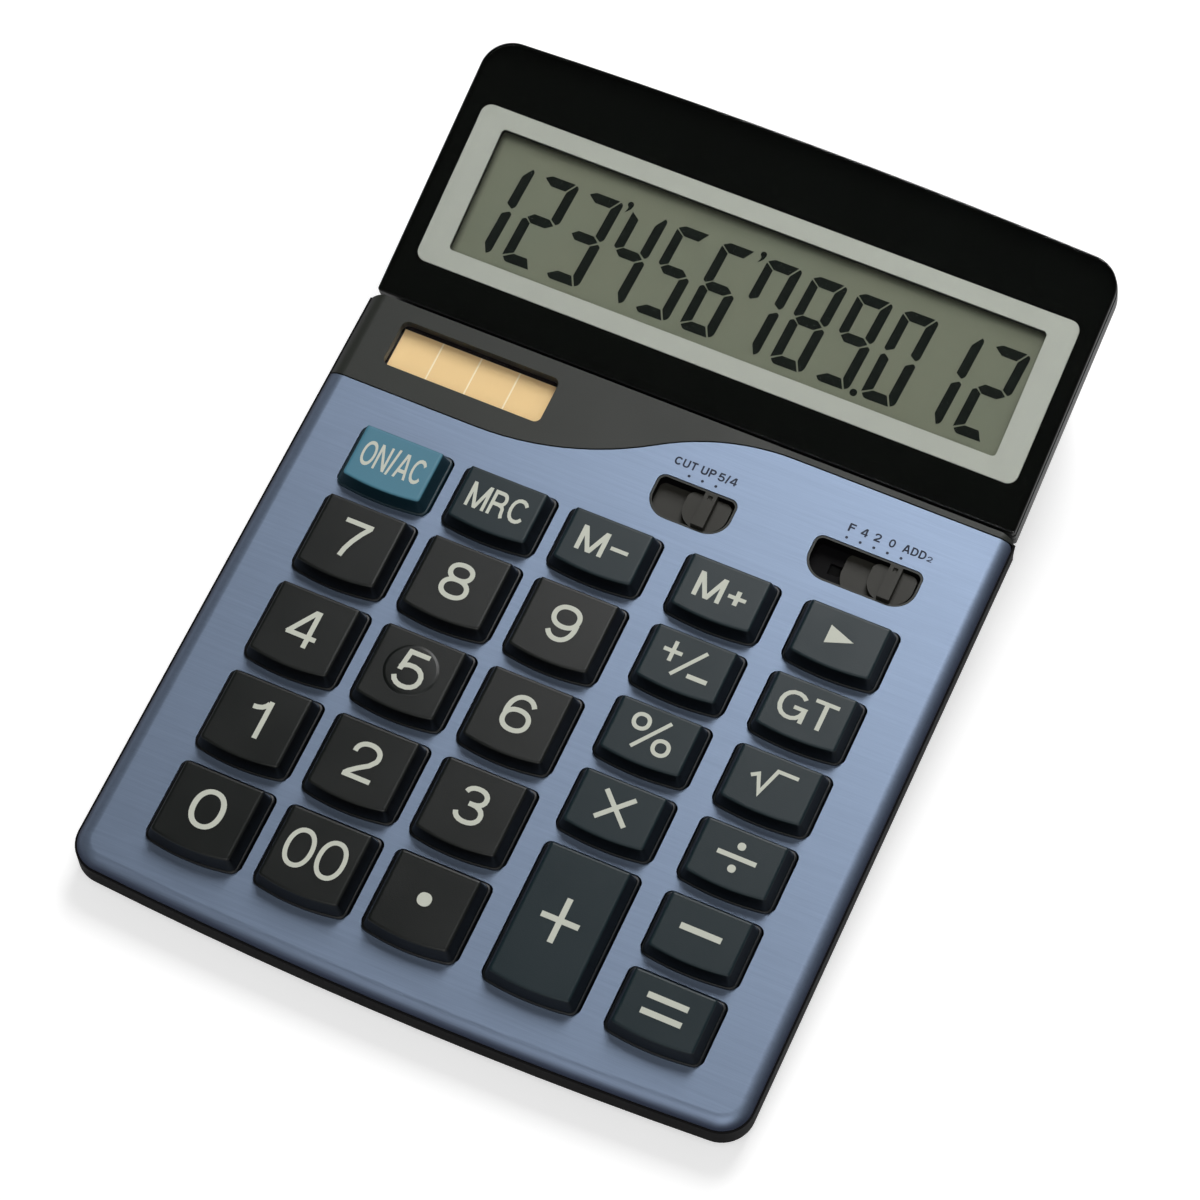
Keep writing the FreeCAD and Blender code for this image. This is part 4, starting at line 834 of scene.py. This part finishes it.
def raised_shape(name, outlines, low, high):
    """A closed mesh over the union of flat outlines, from one height to another."""
    corners = []
    faces = []
    for outline in outlines:
        ordered = outline if area_of(outline) > 0 else outline[::-1]
        faces.append(list(range(len(corners), len(corners) + len(ordered))))
        corners += [Vector(corner[:2]) for corner in ordered]
    flat, _, pieces, _, _, within = delaunay_2d_cdt(corners, [], faces, 1, 1e-4)
    pieces = [piece for piece, inside in zip(pieces, within) if inside]
    triangles = [t if area_of([flat[i] for i in t]) > 0 else t[::-1] for t in pieces]
    sides = {(t[i], t[(i + 1) % 3]) for t in triangles for i in range(3)}
    count = len(flat)
    points = [(p.x, p.y, high) for p in flat] + [(p.x, p.y, low) for p in flat]
    walls = [(a + count, b + count, b, a) for a, b in sides if (b, a) not in sides]
    bottoms = [[i + count for i in t[::-1]] for t in triangles]
    mesh = bpy.data.meshes.new(name)
    mesh.from_pydata(points, [], [list(t) for t in triangles] + bottoms + walls)
    mesh.validate()
    return mesh


# %% Lines of an even weight
def ribbon(points, weight, closed=False):
    """Outlines that follow a line with an even width, mitred at its corners."""
    points = [Vector(p) for p in points]
    points = [p for i, p in enumerate(points) if not i or (p - points[i - 1]).length > 1e-5]
    count = len(points)
    sides = []
    for i, point in enumerate(points):
        before = points[i - 1] if i or closed else point * 2 - points[1]
        after = points[(i + 1) % count] if i < count - 1 or closed else point * 2 - points[-2]
        into = (point - before).normalized()
        out = (after - point).normalized()
        across = Vector((-into.y - out.y, into.x + out.x)).normalized()
        reach = weight / 2 / max(across.dot(Vector((-out.y, out.x))), 0.4)
        sides.append((point + across * reach, point - across * reach))
    ends = range(count) if closed else range(count - 1)
    quads = [(sides[i], sides[(i + 1) % count]) for i in ends]
    return [[a[0], a[1], b[1], b[0]] for a, b in quads]


def arc(x, y, across, up, start, end, steps=14):
    """Points on an oval a little squarer than an ellipse, between two angles in degrees."""
    points = []
    for i in range(steps + 1):
        turn = math.radians(start + (end - start) * i / steps)
        cos, sin = math.cos(turn), math.sin(turn)
        points.append((x + across * math.copysign(abs(cos) ** 0.92, cos),
                       y + up * math.copysign(abs(sin) ** 0.92, sin)))
    return points


def disc(x, y, radius):
    return [arc(x, y, radius, radius, 0, 360, 24)[:-1]]


# %% [markdown]
# ## Lettering
# The keys carry a plain, even-weight sans serif. Blender's own font has another build, so the
# few characters that are needed are drawn here, on a cap height of 1, from bars and arcs.

# %% The characters
def alphabet(w):
    """Width and outlines of each character for a line weight w, on a cap height of 1."""
    h = w / 2
    top = 1 - h
    waist = 0.53
    small = (top - waist) / 2
    large = (waist - h) / 2

    def line(*points):
        return ribbon(points, w)

    def post(x, low=0, high=1):
        return line((x, low), (x, high))

    def beam(y, left, right):
        return line((left, y), (right, y))

    def loop(x, y, across, up):
        return ribbon(arc(x, y, across, up, 0, 360, 32)[:-1], w, True)

    def slant(x0, y0, x1, y1):
        half = h * math.hypot(x1 - x0, y1 - y0) / abs(y1 - y0)
        return [[(x0 - half, y0), (x0 + half, y0), (x1 + half, y1), (x1 - half, y1)]]

    six = loop(0.37, 0.325, 0.37 - h, 0.325 - h)
    six += line(*arc(0.39, 0.5, 0.39 - h, 0.5 - h, 188, 34))
    nine = [[(0.74 - x, 1 - y) for x, y in quad] for quad in six]
    bend = arc(0.38, (top + 0.47) / 2, 0.30 - h, (top - 0.47) / 2, 90, -90)
    bowl = [(h, top), (0.38, top), *bend, (0.38, 0.47), (h, 0.47)]
    leg_of_r = [(0.38, 0.47), (0.54, 0.43), (0.61, 0.34), (0.64, 0.12), (0.69, 0)]
    flag_of_one = [(0.02, 0.745), (0.13, 0.755), (0.24, 0.79), (0.32, 0.86), (0.36, top)]
    return {
        "0": (0.74, loop(0.37, 0.5, 0.37 - h, 0.5 - h)),
        "1": (0.46, post(0.40) + line(*flag_of_one)),
        "2": (0.72, line(*arc(0.36, 0.69, 0.36 - h, 0.31 - h, 184, -22), (0.52, 0.44),
                         (0.30, 0.29), (0.13, 0.15), (h, h)) + beam(h, 0.02, 0.72)),
        "3": (0.72, line(*arc(0.36, waist + small, 0.325 - h, small, 168, -90), (0.27, waist))
              + line((0.27, waist), *arc(0.36, h + large, 0.36 - h, large, 90, -172))),
        "4": (0.76, post(0.56) + beam(0.28, 0, 0.76) + slant(0.045, 0.28, 0.56 - h / 2, 1.0)),
        "5": (0.74, beam(top, 0.16, 0.66) + slant(0.11, 0.42, 0.185, 1.0)
              + line(*arc(0.36, 0.325, 0.38 - h, 0.345 - h, 148, -166))),
        "6": (0.74, six),
        "7": (0.70, beam(top, 0, 0.70)
              + line((0.655, 0.93), (0.50, 0.70), (0.37, 0.45), (0.285, 0.22), (0.245, 0))),
        "8": (0.74, loop(0.37, waist + small, 0.33 - h, small)
              + loop(0.37, h + large, 0.37 - h, large)),
        "9": (0.74, nine),
        "A": (0.80, slant(0.37, 1, h, 0) + slant(0.43, 1, 0.80 - h, 0) + beam(0.30, 0.15, 0.65)),
        "C": (0.80, line(*arc(0.41, 0.5, 0.41 - h, 0.5 - h, 36, 324))),
        "D": (0.76, post(h) + line((h, top), (0.32, top),
                                   *arc(0.32, 0.5, 0.44 - h, 0.5 - h, 90, -90), (h, h))),
        "F": (0.62, post(h) + beam(top, h, 0.62) + beam(0.52, h, 0.56)),
        "G": (0.84, line(*arc(0.42, 0.5, 0.42 - h, 0.5 - h, 40, 345), (0.84 - h, 0.46),
                         (0.46, 0.46)) + post(0.84 - h, 0, 0.46)),
        "M": (0.90, post(h) + post(0.90 - h) + slant(h, 1, 0.45, 0) + slant(0.90 - h, 1, 0.45, 0)),
        "N": (0.76, post(h) + post(0.76 - h) + slant(h, 1, 0.76 - h, 0)),
        "O": (0.84, loop(0.42, 0.5, 0.42 - h, 0.5 - h)),
        "P": (0.68, post(h) + line(*bowl)),
        "R": (0.74, post(h) + line(*bowl) + line(*leg_of_r)),
        "T": (0.68, beam(top, 0, 0.68) + post(0.34)),
        "U": (0.74, line((h, 1), (h, 0.32), *arc(0.37, 0.32, 0.37 - h, 0.32 - h, 180, 360),
                         (0.74 - h, 1))),
        "/": (0.36, slant(0.36 - h, 1.04, h, -0.04)),
        "+": (0.58, beam(0.46, 0, 0.58) + post(0.29, 0.17, 0.75)),
        "-": (0.58, beam(0.50, 0, 0.58)),
    }


# %% Words
def word(text, height, weight, width=None, gap=0.13):
    """Outlines of a word centred on the origin, squeezed to a width if one is given."""
    shapes = alphabet(weight / height)
    outlines = []
    pen = 0.0
    for character in text:
        advance, quads = shapes[character]
        outlines += [[(pen + x, y - 0.5) for x, y in quad] for quad in quads]
        pen += advance + gap
    reach = pen - gap
    stretch = width / reach if width else height
    return [[((x - reach / 2) * stretch, y * height) for x, y in quad] for quad in outlines]


def moved(outlines, x, y):
    return [[(px + x, py + y) for px, py in outline] for outline in outlines]


# %% [markdown]
# ## Key legends
# Most keys carry a figure eight millimetres tall or a short word. The signs are bars, dots and
# slanted lines at the sizes read from the photograph. Each legend stands a few hundredths of a
# millimetre proud of the cap, as pad-printed ink does.

# %% What stands on each key
def bar(x0, y0, x1, y1, weight):
    return ribbon([(x0, y0), (x1, y1)], weight)


signs = {
    "point": disc(0, 0, 1.4),
    "minus": bar(-4.1, 0, 4.1, 0, 1.25),
    "equals": bar(-4.05, 1.65, 4.05, 1.65, 1.2) + bar(-4.05, -1.65, 4.05, -1.65, 1.2),
    "divide": bar(-3.9, 0, 3.9, 0, 0.95) + disc(0, 2.4, 0.8) + disc(0, -2.4, 0.8),
    "multiply": bar(-3.0, 3.0, 3.0, -3.0, 0.95) + bar(-3.0, -3.0, 3.0, 3.0, 0.95),
    "plus": bar(-3.8, 0, 3.8, 0, 1.15) + bar(0, -4.7, 0, 4.7, 1.15),
    "root": ribbon([(-4.3, 0.1), (-3.0, 0.9), (-1.6, -2.7), (0.2, 2.7), (4.3, 2.7)], 0.75),
    "shift_right": [[(-2.65, -2.0), (2.65, 0.0), (-2.65, 2.0)]],
    "sign": bar(-5.2, 1.2, -1.4, 1.2, 0.8) + bar(-3.3, -1.0, -3.3, 3.4, 0.8)
    + bar(3.0, 3.3, -2.0, -3.4, 0.75) + bar(1.1, -2.5, 5.2, -2.5, 0.95),
    "percent": ribbon(disc(-2.75, 1.85, 1.5)[0], 0.8, True)
    + ribbon(disc(2.75, -1.85, 1.5)[0], 0.8, True) + bar(-2.7, -3.6, 2.7, 3.6, 0.75),
    "on_ac": word("ON/AC", 5.6, 0.80, 13.1, 0.10),
    "mrc": word("MRC", 5.5, 0.80, 12.1, 0.12),
    "m_minus": word("M-", 5.4, 0.80, 10.2, 0.16),
    "m_plus": word("M+", 5.4, 0.80, 10.3, 0.16),
    "grand_total": word("GT", 6.2, 0.80, 11.3, 0.10),
    **{figure: word(figure, 8.1, 0.98) for figure in "123456789"},
    "0": word("0", 8.3, 1.0, 6.7),
    "00": word("00", 8.3, 0.95, 12.3, 0.10),
}

# %% Print them
legend_height = 0.04
legend_bite = 0.02
for label, outlines in signs.items():
    name = "key_" + label
    middle = keypad[name][0] + top_shift
    if name == "key_5":
        middle.z += puck_height
    mesh = raised_shape(name + "_legend", outlines, -legend_bite, legend_height)
    place_piece(name + "_legend", mesh, on_plate(middle), legend_ink, name + "_cap")
print(len(signs), "legends printed")


# %% [markdown]
# ## Switch markings
# Small slate letters stand behind the two slide switches, with a dot for each stop. The dots
# repeat at an even step, so a recipe makes each row.

# %% The row recipes
def row_recipe(name, shape, **kinds):
    """A recipe that repeats a shape at an even step along X."""
    row = Recipe(name, count="Int", step="Float", **kinds)
    stops = row.node("GeometryNodeMeshLine", {"mode": "OFFSET"},
                     {"Count": row["count"], "Offset": row.point(row["step"], 0.0, 0.0)})
    row.end(row.on_points(stops, shape(row)))
    return row


dots = row_recipe("Row of dots", lambda row: row.barrel(20, row["radius"], row["thickness"]),
                  radius="Float", thickness="Float")
stripes = row_recipe(
    "Divider lines", lambda row: row.box(row["width"], row["length"], row["thickness"]),
    width="Float", length="Float", thickness="Float")

# %% Letters and dots behind the switches
ink_thickness = 0.024
marking_height = 1.82
marking_weight = 0.34
marking_y = 124.77
low_two_height = 1.17
markings = []
for text, left, right in [("CUT", 1.71, 6.37), ("UP", 7.29, 10.32), ("5/4", 10.91, 14.84),
                          ("F", 38.34, 39.70), ("4", 40.97, 42.35), ("2", 43.68, 45.04),
                          ("0", 46.75, 48.02), ("ADD", 49.65, 54.40)]:
    outlines = word(text, marking_height, marking_weight, right - left)
    markings += moved(outlines, (left + right) / 2, marking_y)
markings += moved(word("2", low_two_height, 0.2, 1.05), 55.25,
                  marking_y - (marking_height - low_two_height) / 2)
mesh = raised_shape("switch_markings", markings, -ink_thickness / 2, ink_thickness / 2)
place_piece("switch_markings", mesh, plate_frame, print_ink, "base")

detent = 2.83
for name, count, last_x in [("rounding_dots", 3, 11.32), ("decimal_dots", 5, 50.12)]:
    mesh = dots.make(name, count=count, step=detent, radius=0.30, thickness=ink_thickness,
                     material=print_ink)
    start = Vector((last_x - detent * (count - 1), 122.45, 0.0))
    place_piece(name, mesh, on_plate(start), print_ink, "base")
print("switch markings placed")

# %% [markdown]
# ## The display's digits
# A liquid crystal shows each figure with seven segments. Their mitred ends leave thin light
# gaps, the outer corners are rounded, and the whole figure leans five degrees. The segments
# are drawn once, in the millimetres of one upright figure, and then chosen for each digit.

# %% Segments and digits
segment_corners = {
    "a": [(0.15, 19.1, .2), (1.4, 19.9, .3), (6.45, 19.9, .1), (5.15, 17.8, .05), (2.0, 17.8, .1)],
    "b": [(5.45, 17.7, .1), (6.75, 19.75, .1), (7.4, 19.6, .8), (7.4, 11.25, .3), (6.8, 10.55, .2),
          (5.4, 11.4, .1)],
    "c": [(6.75, 9.95, .15), (7.4, 9.5, .2), (7.4, 0.5, 1.0), (6.55, 0.25, .1), (5.35, 2.25, .1),
          (5.4, 9.05, .1)],
    "d": [(0.35, 0.85, .15), (2.1, 2.1, .1), (5.05, 2.1, .05), (6.3, 0.05, .05), (1.2, 0.0, .5)],
    "e": [(0.7, 9.95, .15), (1.95, 9.1, .1), (2.05, 2.35, .1), (0.05, 1.15, .15), (0.0, 9.5, .2)],
    "f": [(0.05, 18.85, .15), (1.9, 17.65, .1), (1.95, 11.45, .1), (0.6, 10.6, .15),
          (0.0, 11.0, .2)],
    "g": [(0.8, 10.25, .1), (1.9, 11.25, .1), (5.2, 11.25, .1), (6.5, 10.25, .1), (5.15, 9.2, .1),
          (2.0, 9.2, .1)],
}
segments_of = dict(zip(
    "0123456789", "abcdef bc abged abgcd fgbc afgcd afgedc fabc abcdefg fabgcd".split()))
shown = "123456789012"
lean = math.tan(math.radians(5.0))
digit_foot = 10.65
digit_pitch = 9.68
digit_width = 7.4
first_digit_right = -49.24
right_read_at = 18.8
display_marks = []
for i, figure in enumerate(shown):
    left = first_digit_right + digit_pitch * i - lean * right_read_at - digit_width
    for segment in segments_of[figure]:
        outline = eased(segment_corners[segment], True, 5)
        display_marks.append([(x + left + y * lean, y + digit_foot) for x, y in outline])

# %% Apostrophes, the decimal point, and all of it printed
apostrophe_tail = [(0.72, 0.2), (0.5, -0.6), (-0.1, -1.3), (-0.55, -1.55), (-0.2, -0.9),
                   (-0.1, 0.1)]
for x in (-28.6, 0.2):
    display_marks += moved([*disc(0.1, 0.3, 0.62), apostrophe_tail], x, 30.4)
display_marks += disc(27.72, 10.95, 0.75)
glass_top = 2.41
mesh = raised_shape("display_digits", display_marks, glass_top - 0.01, glass_top + 0.03)
place_piece("display_digits", mesh, head_frame, segment_ink, "display_head")
print(len(display_marks), "segments, points and commas shown")

# %% [markdown]
# ## Screws
# Six screws hold the base and four the display's back. They differ only in place and length,
# so one recipe stands a head with a cross recess, and a shank up to a common height, on each
# point of a list. A Boolean cuts the recess out of the domed head.

# %% The screw recipe
screws = Recipe("Pan-head screws", places="Object", head_radius="Float", head_height="Float",
                shank_radius="Float", tip="Float")
seats = screws.node("GeometryNodeObjectInfo", {}, {"Object": screws["places"]}, "Geometry")
blank = screws.barrel(48, screws["head_radius"], screws["head_height"],
                      **{"Side Segments": 4, "Fill Segments": 6})
x, y, z = screws.place()
from_axis = screws.node("ShaderNodeMath", {"operation": "SQRT"}, [x * x + y * y])
share = from_axis / screws["head_radius"]
domed = z * (1 - share * share * share * 0.45 * (z < 0.0))
head = screws.adjusted(blank, Position=screws.point(x, y, domed))
recess_length = screws["head_radius"] * 1.15
recess_width = screws["head_radius"] * 0.26
cross = screws.node("GeometryNodeMeshBoolean", {"operation": "UNION"}, {"Mesh 2": [
    screws.box(recess_length, recess_width, screws["head_height"]),
    screws.box(recess_width, recess_length, screws["head_height"])]})
cut = screws.node("GeometryNodeMeshBoolean", {"operation": "DIFFERENCE"}, {
    "Mesh 1": head, "Mesh 2": screws.shifted(cross, screws["head_height"] * -0.55)})
heads = screws.on_points(seats, screws.shifted(cut, screws["head_height"] * -0.5))
rod = screws.shifted(screws.barrel(24, screws["shank_radius"], 1.0), 0.5)
shank_length = screws["tip"] - screws.place()[2]
shanks = screws.on_points(seats, rod, Scale=screws.point(1.0, 1.0, shank_length))
screws.end(screws.node("GeometryNodeJoinGeometry", {}, {0: [heads, shanks]}))


# %% Screw the base and the display's back
def table_below(y, height):
    """Height on the plate's frame of a point so far above the table, below a place y."""
    return (height - front_rim.z / millimetre - y * math.sin(body_slope)) / math.cos(body_slope)


foot_height = 1.0
head_sink = 2.6
base_seats = [(x, y, table_below(y, foot_height) + head_sink)
              for y in (36.5, 81.5, 126.5) for x in (-61.5, 61.5)]
case_seats = [(-47.0, 3.6, -3.7), (47.0, 3.6, -3.7), (-58.0, 46.0, -3.7), (58.0, 46.0, -3.7)]
for name, seat_points, tip, place, body in [
        ("base_screws", base_seats, -3.6, plate_frame, "base"),
        ("head_case_screws", case_seats, 1.6, head_frame, "display_head")]:
    seat_mesh = bpy.data.meshes.new(name + "_seats")
    seat_mesh.from_pydata(seat_points, [], [])
    holder = in_scene(name + "_seats", seat_mesh)
    mesh = screws.make(name + "_crossed", places=holder, head_radius=1.8, head_height=1.2,
                       shank_radius=0.95, tip=tip, material=steel)
    place_piece(name + "_crossed", outward(mesh), place, steel, body, name)
    bpy.data.objects.remove(holder)
    print(name, "made of", len(mesh.polygons), "faces")


# %% [markdown]
# ## Contacts under the switches
# Each slider's spring runs on black carbon strips printed on the board. They also keep the
# slots under the windows dark.

# %% The carbon strips
def rectangle_between(left, front, right, rear):
    return [(left, front), (right, front), (right, rear), (left, rear)]


board_top = -6.0
slot_middle = 116.6
past_leg = 2.6
half_depth = 4
strips = [rectangle_between(leg - detent * stops - past_leg, slot_middle - half_depth,
                            leg + past_leg, slot_middle + half_depth)
          for leg, stops in ((11.48, 2), (50.24, 4))]
mesh = raised_shape("carbon_strips", strips, board_top, board_top + 0.03)
place_piece("carbon_strips", mesh, plate_frame, carbon_ink, "base")

# %% [markdown]
# ## Lines on the solar cell
# Four strips of film lie side by side, with a pale line between each two. Dark strips at the
# rear and the left of the cell are painted shade below the window's walls.

# %% The solar cell's lines and its painted shade
solar_left, solar_right, solar_front, solar_rear = -60.0, -26.05, 121.3, 131.9
cell_top = -3.0
mesh = stripes.make("solar_lines", count=3, step=8.35, width=0.30, thickness=0.03,
                    length=solar_rear - solar_front + 0.6, material=cell_line)
first_line = Vector((-51.3, (solar_front + solar_rear) / 2, cell_top + 0.01))
place_piece("solar_lines", mesh, on_plate(first_line), cell_line, "base")

# Strips of painted shade along the cell's rear and left edges, under the window's walls.
lap = 0.4
shade_strip_rear = rectangle_between(solar_left - lap, solar_rear - 0.55, solar_right + lap,
                                solar_rear + lap)
shade_strip_left = rectangle_between(solar_left - lap, solar_front - lap, solar_left + 0.3, solar_rear)
mesh = raised_shape("solar_border", [shade_strip_rear, shade_strip_left], cell_top, cell_top + 0.04)
place_piece("solar_border", mesh, plate_frame, solar_shade_ink, "base")
print("solar cell lined")

# %% Ribs in the battery door's thumb grip
grip_middle = Vector((28.0, -9.14, 1.0))
ribs_start = Vector((0, -2.4, 0.3))
ribs = stripes.make("door_ribs", count=5, step=1.2, width=0.5, length=4.6, thickness=0.4,
                    material=shell_plastic)
first_rib = Matrix.Scale(millimetre, 4) @ Matrix.Translation(grip_middle + ribs_start)
place_piece("door_ribs", ribs, first_rib @ Matrix.Rotation(math.pi / 2, 4, "Z"), shell_plastic,
            "door")

# %% [markdown]
# ## Floor, lamps and surroundings
# The calculator stands on a plain white floor. A soft lamp hangs behind it: the plate mirrors
# it as an even sheen and the keys keep dark fronts. It is narrow enough to stay out of the
# solar window's mirror image. A wider lamp high up on the camera's side lights the legends and
# the display. The room is white low down and dim overhead, so metal and the clear lens show a
# pale horizon and a dark ceiling, and the black display head stays black.

# %% The floor
pale = Finish("pale floor")
mottle = 1 + (pale.noise(3.0) - 0.5) * 0.01
matt = pale.node("ShaderNodeBsdfDiffuse", {}, {"Color": pale.shaded((0.86, 0.86, 0.86), mottle)})
off_middle = pale.node("ShaderNodeVectorMath", {"operation": "LENGTH"}, [pale.place], "Value")
level = 0.5 + pale.between(off_middle, 0.2, 1.2) * 0.5
glow = pale.node("ShaderNodeEmission", {}, {"Color": pale.shaded((1.0, 1.0, 1.0), level)})
unseen = pale.node("ShaderNodeEmission", {}, {"Strength": 0.0})
seen = pale.node("ShaderNodeLightPath", {}, (), "Is Camera Ray")
added = pale.node("ShaderNodeMixShader", {}, [seen, unseen, glow])
floor_white = pale.covered(pale.node("ShaderNodeAddShader", {}, [matt, added]))

reach = 4.0
floor_mesh = bpy.data.meshes.new("floor")
corners = [(x, y, 0) for x, y in rectangle_between(-reach, -reach, reach, reach)]
floor_mesh.from_pydata(corners, [], [(0, 1, 2, 3)])
floor_mesh.materials.append(floor_white)
floor = in_scene("floor", floor_mesh)


# %% The lamps
def lamp(name, place, width, height, power):
    """A soft lamp that faces the middle of the calculator."""
    data = bpy.data.lights.new(name, "AREA")
    data.shape = "RECTANGLE"
    data.size = width
    data.size_y = height
    data.energy = power
    return aimed(name, data, place, (0, 0, 0.02))


lamp("rear lamp", (-0.005, 0.58, 0.86), 0.46, 0.60, 5.5)
lamp("front lamp", (0.35, -0.90, 1.5), 1.2, 1.2, 10.0)


# %% The room
def grey(level):
    return (level, level, level, 1.0)


world = bpy.data.worlds.new("room")
bpy.context.scene.world = world
world.use_nodes = True
world.node_tree.nodes.clear()
room = Tree(world.node_tree)
direction = room.node("ShaderNodeTexCoord", {}, (), "Generated")
height = room.node("ShaderNodeSeparateXYZ", {}, [direction], "Z")
overhead = room.node("ShaderNodeMapRange", {},
                     {"Value": height, "From Min": 0.03, "From Max": 0.35})
wall = room.blended(overhead, grey(1.0), grey(0.02))
camera_ray, glossy_ray, clear_ray = [
    room.node("ShaderNodeLightPath", {}, (), name)
    for name in ("Is Camera Ray", "Is Glossy Ray", "Is Transmission Ray")]
mirrored = glossy_ray.maths("MINIMUM", glossy_ray + clear_ray, 1.0)
colour = room.blended(camera_ray, room.blended(mirrored, grey(0.12), wall), grey(1.0))
background = room.node("ShaderNodeBackground", {}, {"Color": colour, "Strength": 1.0})
room.node("ShaderNodeOutputWorld", {}, {"Surface": background})
bpy.context.scene.view_settings.view_transform = "Standard"
